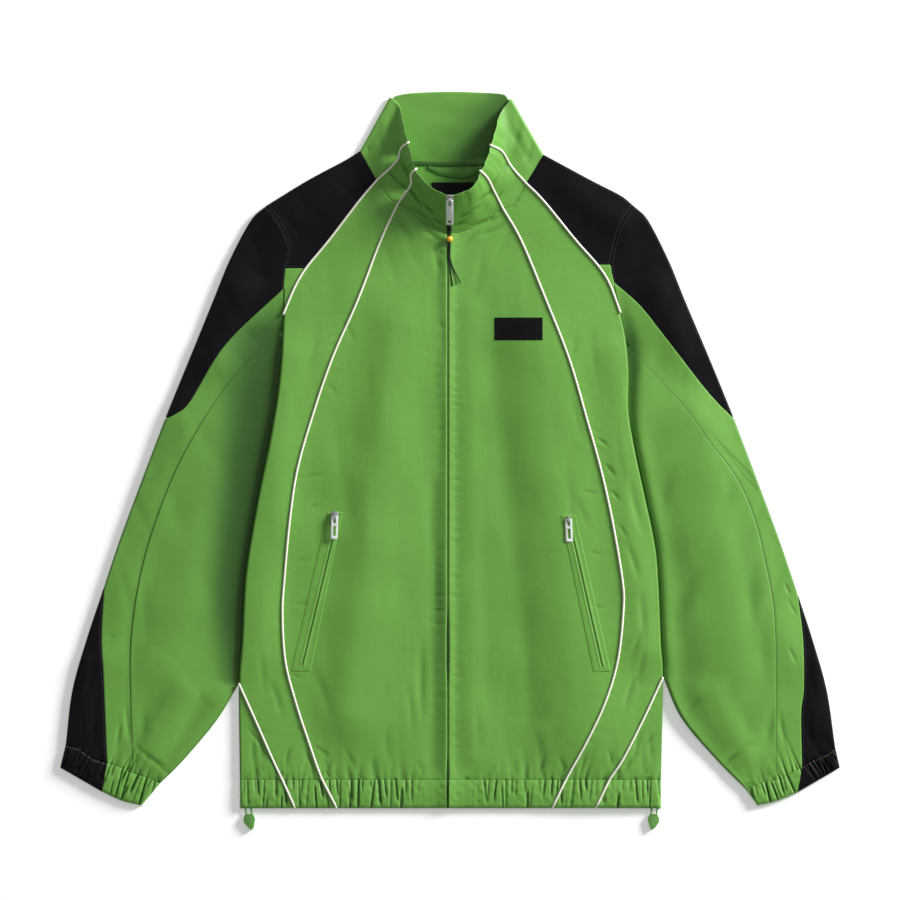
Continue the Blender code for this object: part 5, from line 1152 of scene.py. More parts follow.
for side in sides:
    seamLine, freeLine = (straight((shared[side]["hip"][-1, 0], cloth[key]), (zipEdge(side), cloth[key]))
                          for key in ("hemY", "bottomY"))
    makeCasing("hemCasing", "hem_casing", side, "green", seamLine, freeLine, hemGathers[side], "start")
    for part, foldedEnd in (("black", "start"), ("green", "end")):
        makeCasing("cuff" + part.title(), "cuff_" + part, side, part,
                   np.array(cuffs[side][part + "Seam"], float), spline(cuffs[side][part + "Edge"]),
                   cuffGathers[part, side], foldedEnd)
print("elastic casings are made")

collarZ = [  # part of the way along the top edge from the side fold to the zip, its height
    (0.0, 5.0), (0.10, 9.0), (0.25, 19.0), (0.42, 30.0), (0.62, 37.0), (0.8, 40.5), (1.0, 42.0)]
collarPiping = {
    "left": dict(inner=[(-37, 302), (-42, 296), (-42, 286), (-56, 266)],
                 outer=[(-45, 331), (-53, 324), (-57, 312), (-79, 291)]),
    "right": dict(inner=[(33, 300), (40, 293), (47, 280), (57, 261)],
                  outer=[(44, 328), (56, 322), (66, 306), (82, 288)])}
collar = dict(
    pitch=1.3, rimRound=1.2, rimShare=0.9, litSideShade=0.18, creaseShade=0.7, palerTone=0.9, palerReach=1.2,
    sway=0.3, swayWaves=[(9, 1.0), (17, 0.7), (31, 0.4)], swayStarts=dict(left=(4, 0, 2), right=(5, 0, 2)),
    wobble=0.2, wobbles=11, lump=0.5, lumpWave=24, creaseFrom=4, dip=0.35, dipHalf=1.6,
    groove=0.35, grooveAt=3.2, grooveHalf=0.5,
    parts=dict(front=(0.6, 1.3, 91), mid=(0.4, 3.0, 92)))    # each one's bulge, hang and seed


def collarRun(side, start, end):
    # the collar's top edge between two of its places, with how far along the whole edge each point is;
    # it sways by a sum of sine waves
    edge = evenly(spline(seams["collarEdge"][side]), 400)
    ways = np.linspace(0, 1, 400)
    a, b = (ways[np.argmin(((edge - np.array(p)) ** 2).sum(axis=1))] for p in (start, end))
    along = np.linspace(a, b, 60)
    ahead = np.gradient(edge, axis=0)
    ahead /= np.linalg.norm(ahead, axis=1)[:, None]
    waves = zip(collar["swayWaves"], collar["swayStarts"][side])
    sway = sum(share * np.sin(count * 2 * math.pi * ways + first) for (count, share), first in waves)
    sway = sway * collar["sway"] * np.sin(math.pi * ways) ** 0.5
    edge = edge + np.column_stack([-ahead[:, 1], ahead[:, 0]]) * sway[:, None]
    return np.stack([np.interp(along, ways, edge[:, k]) for k in range(2)], 1), along


def collarFace(top, along, seam, left, right, bulge, hang, u, v):
    # from the top edge's height down to the seam's as (1 - v)^hang, swelled by bulge * 4 v (1 - v)
    plan = patch((top, seam, left, right), u, v)
    way = np.interp(u, np.linspace(0, 1, len(along)), along)
    wobble = np.sin(2 * math.pi * collar["wobbles"] * way + top[0, 0]) * collar["wobble"]
    topZ = (np.interp(way, *zip(*collarZ)) + wobble * np.sin(math.pi * way))[None]
    seamZ = largeFolds(*onEdge(asEdge(seam), u).T)[None]
    v = v[:, None]
    return np.dstack([plan, seamZ + (topZ - seamZ) * (1 - v) ** hang + bulge * 4 * v * (1 - v)])


def rimRound(d, wall):
    # how far a cloth's face comes in towards its middle beside a turned edge: a quarter round
    near = np.clip(1 - d / collar["rimRound"], 0, 1)
    return wall / 2 * collar["rimShare"] * (1 - np.sqrt(1 - near ** 2))


def closedSheet(name, face, back, wearAndHighlight=0.0, paintedShade=0.0, uv=None):
    # a closed cloth between two grids of the same size; its grain is the plan's if no uv is given
    rows, cols = face.shape[:2]
    count = rows * cols
    ring = ringOf(np.arange(count).reshape(rows, cols))
    after, grid = np.roll(ring, -1), gridFaces(rows, cols)
    quads = np.vstack([grid, grid[:, ::-1] + count, np.stack([ring, after, after + count, ring + count], 1)])
    marks = [np.tile(np.broadcast_to(mark, (rows, cols)).ravel(), 2) for mark in (wearAndHighlight, paintedShade)]
    smooth = np.arange(len(quads)) < len(quads) - len(ring)
    uv = (face[..., :2] if uv is None else uv).reshape(-1, 2)
    return addMesh(name, np.vstack([face.reshape(-1, 3), back.reshape(-1, 3)]), quads, [],
                   np.vstack([uv] * 2), *marks, smooth=smooth)


def makeCollarPiece(part, side, left, right, seam, c=collar):
    # one standing piece, its lower side a wall's thickness below its face, dipped at the piping beside it
    name, (bulge, hang, seed) = "collar" + part.title() + "_" + side, c["parts"][part]
    top, along = collarRun(side, left[0], right[0])
    u, v = spread(meanLength(top, seam), c["pitch"]), spread(meanLength(left, right), c["pitch"])
    face = collarFace(top, along, seam, left, right, bulge, hang, u, v)
    x, y, z, v = face[..., 0], face[..., 1], face[..., 2], v[:, None]
    down, across = v * lengthAlong(left)[-1], u[None] * lengthAlong(top)[-1]
    z = z + (softNoise(x, y, seed, c["lumpWave"], c["lump"]) * np.sin(math.pi * v)
             - creaseDepth(x, y) * np.clip(down / c["creaseFrom"], 0, 1))
    # painted shade in the creases, and on the right piece's upper part, which faces the lamp, a painted shade
    # that tones it down
    paintedShade = c["creaseShade"] * cavity(z)
    if side == "right":
        paintedShade = np.maximum(paintedShade, c["litSideShade"] * (1 - v) ** 2)
    toSide = np.minimum(across, across[:, -1:] - across)
    z = z - c["dip"] * np.exp(-(toSide / c["dipHalf"]) ** 2) * v ** 0.3
    rounding = rimRound(down, cloth["collarWall"])
    low = np.dstack([x, y, np.maximum(z - cloth["collarWall"], cloth["floor"]) + rounding])
    z = z - rounding - c["groove"] * np.exp(-((down - c["grooveAt"]) / c["grooveHalf"]) ** 2)
    face = np.dstack([x, y, z])
    panels[name] = dict(u=u, v=v[:, 0], face=face)
    # a paler band along the top edge: painted highlight on its rounded rim
    wearAndHighlight = c["palerTone"] * np.exp(-(down / c["palerReach"]) ** 2)
    obj = closedSheet(name, face, low, wearAndHighlight, paintedShade, np.dstack([across + 0 * down, down + 0 * across]))
    finishCloth(obj, "green", ["collar_%s_%s" % (part, side)], face)
    return face


collarFaces = {}
for side in sides:
    e = shared[side]
    inner, outer = spline(collarPiping[side]["inner"]), spline(collarPiping[side]["outer"])
    zipLine = straight(*((zipEdge(side), seams[key][side][-1][1]) for key in ("collarEdge", "neck")))
    collarFaces["front", side] = makeCollarPiece("front", side, inner, zipLine, e["neckFront"])
    collarFaces["mid", side] = makeCollarPiece("mid", side, outer, inner, e["neckMid"])

collarFold = dict(
    depth=66, flap=34, bulge=0.4, hang=7.0, foldIn=3.0, foldTop=5.4, leastTop=5.6, riseReach=16,
    ridge=0.45, ridgeAt=11, ridgeHalf=4.5, dent=0.8, dentAt=20, dentHalf=4.0, lump=0.4, lumpWave=26,
    plainReach=6, insideIn=(4.4, 2.4), insideZ=(2.5, 0.5), margin=0.045, backZ=2.0, backSwell=0.35,
    backLump=0.14, backWave=30, backWall=2.0, insideShade=0.12, flapShadow=0.7, flapReach=26, flapMore=0.6,
    flapTop=386)


def collarFlap(side, v, c=collarFold):
    # one end of the back piece, from its outer piping to the side fold and half round it: the outer
    # side's grid and the inside's, the flap rising from the fold by 1 - exp(-(d / reach)^2)
    e, down = shared[side], v[:, None] * c["depth"]
    outer = spline(collarPiping[side]["outer"])
    fold = straight(seams["collarEdge"][side][0], e["collarBlack"][0])
    runTop, along = collarRun(side, fold[0], outer[0])
    u = spread(c["flap"], collar["pitch"])
    u[0] = 0.0
    face = collarFace(runTop, along, e["collarBlack"], fold, outer, c["bulge"], c["hang"], u, v)
    foldLine = face[:, 0, :2]
    inward = face[:, 6, :2] - foldLine
    inward /= np.linalg.norm(inward, axis=1)[:, None]
    near = np.linalg.norm(face[..., :2] - foldLine[:, None], axis=-1)
    x, y = face[..., 0], face[..., 1]
    rise = np.maximum(face[..., 2], c["leastTop"]) - c["foldTop"]
    face[..., 2] = c["foldTop"] + rise * (1 - np.exp(-(near / c["riseReach"]) ** 2))
    ridge = (np.exp(-((near - c["ridgeAt"]) / c["ridgeHalf"]) ** 2)
             - c["dent"] * np.exp(-((near - c["dentAt"]) / c["dentHalf"]) ** 2))
    face[..., 2] += (c["ridge"] * ridge * np.sin(math.pi * v[:, None]) ** 0.7
                     + (softNoise(x, y, 93, c["lumpWave"], c["lump"]) - creaseDepth(x, y))
                     * (1 - np.exp(-(near / c["plainReach"]) ** 2)))
    face = face[:, near.min(axis=0) > c["foldIn"] + 0.4]
    a = np.radians(np.linspace(90, 270, 13))
    reach = c["foldIn"] * (1 - np.maximum(-np.cos(a), 0))
    (most, least), (middle, half) = c["insideIn"], c["insideZ"]
    ring, tight = (np.dstack([foldLine[:, None] + inward[:, None] * far[None, :, None],
                              np.tile(z, (len(v), 1))])
                   for far, z in ((reach, c["foldTop"] / 2 + c["foldTop"] / 2 * np.sin(a)),
                                  (most - least * (1 - reach / c["foldIn"]), middle + half * np.sin(a))))
    low = face.copy()
    low[..., 2] -= cloth["collarWall"]
    rounding = rimRound(down, cloth["collarWall"])
    face[..., 2] -= rounding
    low[..., 2] += rounding
    return np.concatenate([face[:, ::-1], ring], axis=1), np.concatenate([low[:, ::-1], tight], axis=1)


def makeCollarBack(c=collarFold):
    # one cloth: from the left outer piping over the flap, round the side fold, across the back of the
    # neck with its inside up, and round the right fold to the right outer piping
    v = spread(c["depth"], collar["pitch"])
    v[0], v[-1] = 0.0, 1.0
    down = v[:, None] * c["depth"]
    backU = np.linspace(0, 1, 61)
    back = patch(lying(evenly(spline(collarBackTop), 300), evenly(spline(collarBackBase), 300)), backU, v)
    back = back[:, (backU > c["margin"]) & (backU < 1 - c["margin"])]
    x, y = back[..., 0], back[..., 1]
    above = (c["backZ"] + c["backSwell"] * np.sin(math.pi * v[:, None])
             + softNoise(x, y, 95, c["backWave"], c["backLump"]) - 0.5 * rimRound(down, c["backWall"]))
    under = 0 * x + 0.3 * rimRound(down, c["backWall"])
    (leftOut, leftIn), (rightOut, rightIn) = (collarFlap(side, v) for side in sides)
    outerRun = np.concatenate([leftOut, np.dstack([back, under]), rightOut[:, ::-1]], axis=1)
    innerRun = np.concatenate([leftIn, np.dstack([back, above]), rightIn[:, ::-1]], axis=1)
    across = lengthAlong(outerRun[20])[None]
    # a paler band along the top edge: painted highlight on its rounded rim
    wearAndHighlight = collar["palerTone"] * np.exp(-(down / collar["palerReach"]) ** 2)
    # the inside of the back takes painted shade, darkest in the painted shadow of the right flap, which
    # widens lower down; the right flap's upper part takes the painted shade that tones its lit side down
    inside = np.zeros(across.shape)
    inside[:, leftOut.shape[1]:-rightOut.shape[1]] = 1
    flap = spline(seams["collarEdge"]["right"])
    toFlap = np.interp(innerRun[..., 1], flap[::-1, 1], flap[::-1, 0]) - innerRun[..., 0]
    reach = c["flapReach"] + c["flapMore"] * (c["flapTop"] - innerRun[..., 1])
    paintedShade = inside * (c["insideShade"] + c["flapShadow"] * np.exp(-(np.maximum(toFlap, 0) / reach) ** 2))
    paintedShade[:, -rightOut.shape[1]:] = collar["litSideShade"] * (1 - v[:, None]) ** 2
    obj = closedSheet("collarBack", outerRun, innerRun, wearAndHighlight, paintedShade,
                      np.dstack([across + 0 * down, down + 0 * across]))
    finishCloth(obj, "green", ["collar_back"], outerRun)


makeCollarBack()
print("collar is made")

backLook = dict(
    neckSeam=58.0, pitch=4.0, low=0.05, most=0.15, lump=0.1, lumpWave=60, shade=0.85, shadeFrom=240,
    ramp=10, shadeMiddle=0.6, shadeSide=0.4, shadeWide=30, behindSide=1.2, behindBlack=1.5, ease=12)


def plate(name, node, paint, edges, seed, grain=0.0, shade=0.0, b=backLook):
    # a panel of the back: its under side is flat on the table, its upper face has a slight lie
    plan = gridOver(edges, b["pitch"])[2]
    x, y = plan[..., 0], plan[..., 1]
    z = np.minimum(cloth["backWall"] - b["low"] + softNoise(x, y, seed, b["lumpWave"], b["lump"]),
                   cloth["backWall"] + b["most"])
    # painted shade near the neck, where the collar would shade the back, darker towards the right
    paintedShade = (shade * np.clip((y - b["shadeFrom"]) / b["ramp"], 0, 1)
              * (b["shadeMiddle"] + b["shadeSide"] * np.clip(x / b["shadeWide"], -1, 1)))
    face = np.dstack([plan, z])
    obj = closedSheet(name, face, np.dstack([plan, 0 * z]), 0.0, paintedShade, onGrain(plan, grain))
    finishCloth(obj, paint, [node], face)


def movedAside(line, x, y):
    # the line moved by x, y along its middle and not at its ends, so that its gap hides below the front
    s = lengthAlong(line)
    share = np.clip(np.minimum(s, s[-1] - s) / backLook["ease"], 0, 1)[:, None]
    return line + share * np.array([x, y])


def makeBack(b=backLook):
    # the raglans, the backs of the sleeves and the back itself, from the neck's seam to the hem and cuffs
    base = evenly(spline(collarBackBase), 300)

    def neckRun(x):
        return np.column_stack([x, np.interp(x, base[:, 0], base[:, 1]) - 3 * cloth["gap"]])

    edges = {}
    for side in sides:
        sign, e, cuff = signOf[side], shared[side], cuffs[side]
        neckX = sign * b["neckSeam"]
        neck = np.array([neckX, np.interp(neckX, base[:, 0], base[:, 1])])
        raglan = spline([neck, (neck + e["tuck"]) / 2 + [sign * 6, 4], e["tuck"]])
        beside = np.vstack([straight(e["tuck"], e["side"][0]), e["side"][1:]])
        beside = movedAside(beside, -sign * b["behindSide"], 0)
        blackLine = movedAside(e["blackEdge"], 0, -b["behindBlack"])
        down = np.vstack([beside, e["hip"][1:], [e["hip"][-1, 0], cloth["bottomY"]]])
        edges[side] = edgeOf((raglan, 240), (down, 561))
        outline = np.vstack([e["shoulderEdge"], e["sleeveEdge"][1:]])
        inner = np.vstack([raglan, blackLine[1:]])
        _, end, outer, inner = standing(trimmed(outline, end=3), trimmed(inner, end=3))
        plate("raglanBack_" + side, "raglan_back_" + side, "black",
              (neckRun(np.linspace(outline[0, 0], neckX, 30)), end, outer, inner), 21, sign * 28)
        outer = np.vstack([e["forearmEdge"], e["wristEdge"][1:], cuff["blackEdge"][0]])
        inner = np.vstack([beside, e["underEdge"][1:], cuff["greenEdge"][-1]])
        edge = np.vstack([spline(cuff["blackEdge"]), spline(cuff["greenEdge"])[1:]])
        plate("sleeveBack_" + side, "sleeve_back_" + side, "green", (blackLine[::-1], edge, outer, inner),
              23, sign * 24)
    bottom = straight(edges["left"][1][-1], edges["right"][1][-1])
    plate("backBody", "back", "green",
          (neckRun(np.linspace(-1, 1, 60) * b["neckSeam"]), bottom, edges["left"], edges["right"]), 25,
          shade=b["shade"])


makeBack()

neckTape = dict(width=4.4, top=2.9, trim=42, above=0.9, pitch=2.0, acrossPitch=0.8, rimDip=0.35, rimHalf=0.5,
                gapBetween=4.0, puckerDepth=0.3, puckerReach=3.0, thick=0.6, shadeTone=0.85)


def makeNeckTape(b):
    # a narrow tape over the back neck's seam, between its two rows of stitches
    line = trimmed(evenly(spline(collarBackBase), 300), b["trim"], b["trim"])
    u, v = spread(lengthAlong(line)[-1], b["pitch"]), spread(b["width"], b["acrossPitch"])
    path = onEdge(asEdge(line), u)
    x = np.tile(path[:, 0], (len(v), 1))
    y = path[None, :, 1] + b["above"] - v[:, None] * b["width"]
    rim = np.minimum(v, 1 - v)[:, None] * b["width"]
    z = (b["top"] - b["rimDip"] * np.exp(-(rim / b["rimHalf"]) ** 2)
         - puckers(x + 60, rim + 0 * x, 7, b["gapBetween"], b["puckerDepth"], b["puckerReach"]))
    face = np.dstack([x, y, z])
    # the whole tape takes painted shade, as it lies inside the collar
    obj = closedSheet("neckTape", face, np.dstack([x, y, 0 * z + b["top"] - b["thick"]]), paintedShade=b["shadeTone"])
    finishCloth(obj, "inside", [], face)


makeNeckTape(neckTape)
print("back layer is made")

piping = dict(
    radius=1.2, sink=0.55, pitch=1.6, sides=10, onCasing=0.8, casingRise=0.2, casingRound=5, endZ=3.2,
    overTop=[(1.0, -2.2), (0.9, -0.8)])    # out and down from the collar's top edge, to its first two points


def makePiping(part, side, plan, offPlan, casingPlan=None, p=piping):
    # a round cord in the seam: over the collar it lies proud of the face, down the panels it sinks in
    parts = []
    if offPlan is not None:
        along, across = np.gradient(offPlan[:, 0], axis=0), offPlan[:, 4] - offPlan[:, 0]
        square = np.cross(along, across)
        square *= np.sign(square[:, 2:3])
        square /= np.linalg.norm(square, axis=1)[:, None]
        run = (offPlan[:, 0] + square * p["sink"])[:-2]
        out = run[0] - run[3]
        out = out / np.linalg.norm(out) * [1, 1, 0]
        parts += [np.array([run[0] + out * far + [0, 0, down] for far, down in p["overTop"]]), run]
    line = evenly(plan, max(8, int(lengthAlong(plan)[-1] / 3)))
    parts.append(np.column_stack([line, frontLie(line[:, 0], line[:, 1]) + p["sink"]]))
    if casingPlan is not None:
        line = evenly(casingPlan, 16)
        below, tall = cloth["hemY"] - line[:, 1], cloth["hemY"] - cloth["bottomY"]
        z = (largeFolds(line[:, 0], 0 * line[:, 0] + cloth["hemY"]) + puffed(below, tall) * p["onCasing"]
             + p["casingRise"])
        z -= (z - p["endZ"]) * (1 - np.sqrt(1 - np.clip(1 - (tall - below) / p["casingRound"], 0, 1) ** 2))
        parts.append(np.column_stack([line, z])[1:])
    path = np.vstack(parts)
    for _ in range(2):
        path[1:-1] = (path[:-2] + 2 * path[1:-1] + path[2:]) / 4
    path = evenly(path, int(lengthAlong(path)[-1] / p["pitch"]))
    obj = addSweep("piping%s_%s" % (part.title(), side), path, p["radius"], p["sides"])
    dress(obj, "creamPiping", nodes=["piping_%s_%s" % (part, side)])


for side in sides:
    e = shared[side]
    makePiping("inner", side, betweenLevels(e["innerPiping"], seams["neck"][side][2][1], cloth["hemY"], 300),
               collarFaces["front", side], spline(seams["innerPiping"][side][-2:]))
    makePiping("outer", side, e["raglan"], collarFaces["mid", side])
    makePiping("lower", side, e["lower"], None, spline(seams["lowerPiping"][side][-2:]))
print("piping is laid")

zipLook = dict(
    tapeHalf=3.4, tapeThick=0.9, tapeIn=0.5, tapeShade=0.8, collarFrom=233.0, collarIn=1.3, rows=420,
    above=0.4, stop=-373.0, toothPitch=1.5,
    toothSize=(2.0, 0.8, 0.8), toothIn=0.75, hiddenIn=1.15, toothAside=0.5,
    toothShape=[(-1, 1), (0.4, 1), (1, 0.7)])    # each ring's height and width


def zipHeights(y):
    # the height of the front edges beside the zip: up the collar's slope and down the front
    face = collarFaces["front", "left"][:, -1]
    topY, z = face[:, 1], face[:, 2]
    lie = largeFolds(np.full(len(y), cloth["zipX"]), np.maximum(y, cloth["hemY"]))
    return np.where(y > topY[-1], np.interp(y, topY[::-1], z[::-1]), lie)


def makeZip(z):
    # the tape below the front edges, and teeth: small blocks, left and right in turn, along the same line
    y = np.linspace(seams["collarEdge"]["left"][-1][1] - z["above"], z["stop"], z["rows"])
    x = cloth["zipX"] + np.array([-1, -0.5, 0.5, 1]) * z["tapeHalf"]
    height = zipHeights(y) - cloth["wall"] - z["tapeIn"] - z["collarIn"] * (y > z["collarFrom"])
    top = np.dstack(np.broadcast_arrays(x[None], y[:, None], height[:, None]))
    low = top.copy()
    low[..., 2] = np.maximum(low[..., 2] - z["tapeThick"], cloth["floor"])
    # the tape takes painted shade all over, lying below the front edges
    dress(closedSheet("zipTape", top, low, paintedShade=z["tapeShade"]), "inside", nodes=["main_zip"])
    count = int(abs(y[-1] - y[0]) / z["toothPitch"])
    at = np.linspace(y[0] - 1, y[-1] + 1, count)
    centre = np.column_stack([np.full(count, cloth["zipX"]), at, zipHeights(at) - z["toothIn"]])
    centre[:, 2] -= z["hiddenIn"] * (1 - slitOpen(at))
    centre[:, 0] += np.where(np.arange(count) % 2, 1, -1) * z["toothAside"]
    along = np.gradient(centre, axis=0)
    along[:, 0] = 0
    along /= np.linalg.norm(along, axis=1)[:, None]
    across = np.tile([1.0, 0, 0], (count, 1))
    up = np.cross(across, along)
    frames = np.stack([across, along, up * np.sign(up[:, 2:3])], 1)
    a, b, c = (size / 2 for size in z["toothSize"])
    block = np.array([(sx * a * w, sy * b * w, h * c) for h, w in z["toothShape"]
                      for sx, sy in ((-1, -1), (1, -1), (1, 1), (-1, 1))])
    k = np.arange(4)
    quads = np.vstack([np.stack([r + k, r + (k + 1) % 4, r + 4 + (k + 1) % 4, r + 4 + k], 1) for r in (0, 4)]
                      + [[[3, 2, 1, 0], [8, 9, 10, 11]]])
    verts, quads = repeated(block, quads, centre, frames)
    dress(addMesh("zipTeeth", verts, quads, [], verts[:, :2], smooth=False), "zipTeeth")


makeZip(zipLook)
print("main zip is made")

pockets = {
    "left": dict(outer=[(-132.5, -67), (-171.5, -239)], inner=[(-116, -67), (-150.5, -239)],
                 slit=[(-126.9, -95), (-159.5, -231)]),
    "right": dict(outer=[(135.5, -70), (173.5, -239)], inner=[(119.5, -70), (154.5, -239)],
                  slit=[(133.0, -97), (163.6, -232)])}
welt = dict(
    wide=18, long=176, pitch=1.3, acrossPitch=0.7, rise=0.4, rimRound=1.4, lift=0.05, lip=0.45, lipAt=1.8,
    lipHalf=1.2, slitHalf=0.55, slitDepth=1.1, slitEase=3, groove=0.12, grooveAt=2.2, grooveHalf=0.5,
    slitShadeHalf=0.75, palerTone=0.3)


def makeWelt(side, p, w):
    # a strip on the front panel: rounded at its rim, with a lipped slit down its middle
    name, edges = "pocketWelt_" + side, standing(spline(p["outer"]), spline(p["inner"]))
    u, v = spread(w["wide"], w["acrossPitch"]), spread(w["long"], w["pitch"])
    plan = patch(edges, u, v)
    ground = heightOn("frontCentre_" + side, plan)
    a, b = np.array(p["slit"])
    slitLength = np.linalg.norm(b - a)
    line, off = (b - a) / slitLength, plan - a
    along, across = off @ line, off[..., 0] * line[1] - off[..., 1] * line[0]
    inSlit = (np.clip(along / w["slitEase"] + 1, 0, 1)
              * np.clip((slitLength - along) / w["slitEase"] + 1, 0, 1))
    long, wide = w["long"] * v[:, None], w["wide"] * u[None]
    rim = np.minimum(np.minimum(long, w["long"] - long), np.minimum(wide, w["wide"] - wide))
    lip = np.abs(across) - w["lipAt"]
    z = ground + w["rise"] * np.sqrt(1 - np.clip(1 - rim / w["rimRound"], 0, 1) ** 2) + w["lift"]
    z += inSlit * (w["lip"] * np.exp(-(lip / w["lipHalf"]) ** 2)
                   - (w["slitDepth"] + w["lip"]) * np.exp(-(across / w["slitHalf"]) ** 4))
    z -= w["groove"] * np.exp(-((rim - w["grooveAt"]) / w["grooveHalf"]) ** 2)
    face, low = np.dstack([plan, z]), np.dstack([plan, np.minimum(ground - 0.3, z - 0.1)])
    panels[name] = dict(u=u, v=v, face=face)
    # the lips beside the slit are paler, partly wear and partly painted highlight, and the slit itself takes
    # painted shade
    obj = closedSheet(name, face, low, w["palerTone"] * np.exp(-lip ** 2) * inSlit,
                      inSlit * np.exp(-(across / w["slitShadeHalf"]) ** 4))
    finishCloth(obj, "green", ["pocket_welt_" + side], face)


for side in sides:
    makeWelt(side, pockets[side], welt)
print("pocket welts are made")

stitch = dict(length=2.1, pitch=3.0, radius=0.2, lift=0.02, flat=0.8, waist=0.3, look=0.8)


def capsule(s):
    # a stitch: two rings of four between its pointed ends, flattened a little
    ring = [(math.cos(a) * s["radius"], s["flat"] * math.sin(a) * s["radius"])
            for a in np.radians([0, 90, 180, 270])]
    points = [(-s["length"] / 2, 0, 0)]
    points += [(end * s["waist"] * s["length"], p, q) for end in (-1, 1) for p, q in ring]
    points.append((s["length"] / 2, 0, 0))
    k = np.arange(4)
    n = (k + 1) % 4
    tris = np.vstack([np.stack([0 * k, 1 + n, 1 + k], 1), np.stack([1 + k, 1 + n, 5 + n], 1),
                      np.stack([1 + k, 5 + n, 5 + k], 1), np.stack([0 * k + 9, 5 + k, 5 + n], 1)])
    return np.array(points), tris


def stitchRow(path, s=stitch):
    # stitches along a line in space, each set on the line's own direction
    way = lengthAlong(path)
    count = max(2, int(way[-1] / s["pitch"]))
    at = (np.arange(count) + 0.5) * way[-1] / count
    centre, ahead, behind = (np.stack([np.interp(at + off, way, path[:, k]) for k in range(3)], 1)
                             for off in (0, s["look"], -s["look"]))
    along = ahead - behind
    along /= np.linalg.norm(along, axis=1)[:, None]
    across = np.cross([0, 0, 1.0], along)
    across /= np.linalg.norm(across, axis=1)[:, None]
    centre[:, 2] += s["lift"]
    return repeated(*capsule(s), centre, np.stack([along, across, np.cross(along, across)], 1))


def beside(name, which, distance, first=0.0, last=1.0):
    # a line on a panel's face that keeps its distance from one edge
    t = np.linspace(first, last, 400)
    p = panels[name]
    if which in ("outer", "inner"):
        wide = np.linalg.norm(onPanel(name, 0 * t + 1, t) - onPanel(name, 0 * t, t), axis=1)
        u = distance / np.maximum(wide, distance * 1.01)
        return onPanel(name, u if which == "outer" else 1 - u, t)
    tall = np.linalg.norm(np.diff(p["face"], axis=0), axis=-1).sum(axis=0)
    v = distance / np.interp(t, p["u"], tall)
    return onPanel(name, t, v if which == "top" else 1 - v)


def sew(name, thread, rows):
    verts, tris, start = [], [], 0
    for row in rows:
        v, f = stitchRow(row)
        verts.append(v)
        tris.append(f + start)
        start += len(v)
    verts = np.vstack(verts)
    dress(addMesh(name, verts, [], np.vstack(tris), verts[:, :2]), thread)


placketLine = dict(left=8.8, right=10.4)
edgeNames = ("outer", "inner", "top", "bottom")


def rowsToSew(side):
    # each piece of stitching: its thread, then each row's panel, edge, distance in and stretch of the edge
    return dict(
        body=["greenThread", ("frontCentre", "inner", placketLine[side]), ("frontCentre", "top", 2.2),
              ("frontSide", "top", 2.2), ("hemCasing", "top", 2.0), ("hipCloth", "inner", 2.6, 0.06, 1),
              ("frontSide", "outer", 2.8, 0.83, 0.99)],
        sleeve=["greenThread", ("sleeveOuter", "inner", 3.2, 0.3, 1), ("cuffGreen", "top", 2.0)],
        black=["blackThread", ("shoulderCloth", "bottom", 2.2), ("sleeveTop", "top", 2.2),
               ("cuffInsert", "inner", 2.4, 0.04, 1)],
        cuff=["goldThread", ("cuffBlack", "top", 2.0)],
        pocket=["greenThread", *(("pocketWelt", edge, 2.4, 0.01, 0.99) for edge in edgeNames),
                ("pocketWelt", "top", 12.0, 0.12, 0.88)],
        collar=["greenThread", ("collarFront", "top", 3.2), ("collarMid", "top", 3.2),
                ("collarFront", "bottom", 2.2), ("collarMid", "bottom", 2.2)])


for side in sides:
    for part, (thread, *rows) in rowsToSew(side).items():
        sew(part + "Stitching_" + side, thread, [beside(name + "_" + side, *row) for name, *row in rows])
print("stitching is done")


def softened(node, name, paint, body="jacket", width=0.3, segments=2):
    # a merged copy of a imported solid, its flat faces joined up and its corners rounded
    mesh = bpy.data.objects[node].data.copy()
    mesh.name = name
    mesh.materials.clear()
    work = bmesh.new()
    work.from_mesh(mesh)
    bmesh.ops.remove_doubles(work, verts=work.verts, dist=1e-6)
    bmesh.ops.dissolve_limit(work, angle_limit=math.radians(2), verts=work.verts, edges=work.edges)
    work.to_mesh(mesh)
    work.free()
    mesh.shade_smooth()
    obj = addObject(name, mesh)
    bevel = obj.modifiers.new("worked", "BEVEL")
    bevel.width = width * mm
    bevel.segments = segments
    bevel.limit_method = "ANGLE"
    bevel.angle_limit = math.radians(28)
    bevel.harden_normals = True
    dress(obj, paint, body, [node])


softened("main_slider", "mainSlider", "sliderMetal")
softened("main_pull", "mainPull", "zipMetal", "main_pull")
softened("pull_bead", "pullBead", "yellowBead", "main_pull")
softened("pull_knot", "pullKnot", "blackCord", "main_pull")
for side in sides:
    softened("pocket_slider_" + side, "pocketSlider_" + side, "sliderMetal")
    softened("pocket_pull_" + side, "pocketPull_" + side, "zipMetal", "pocket_pull_" + side)
    softened("hem_tab_" + side, "hemTab_" + side, "greenRubber", width=0.9, segments=3)
print("metal, bead and tabs are finished")

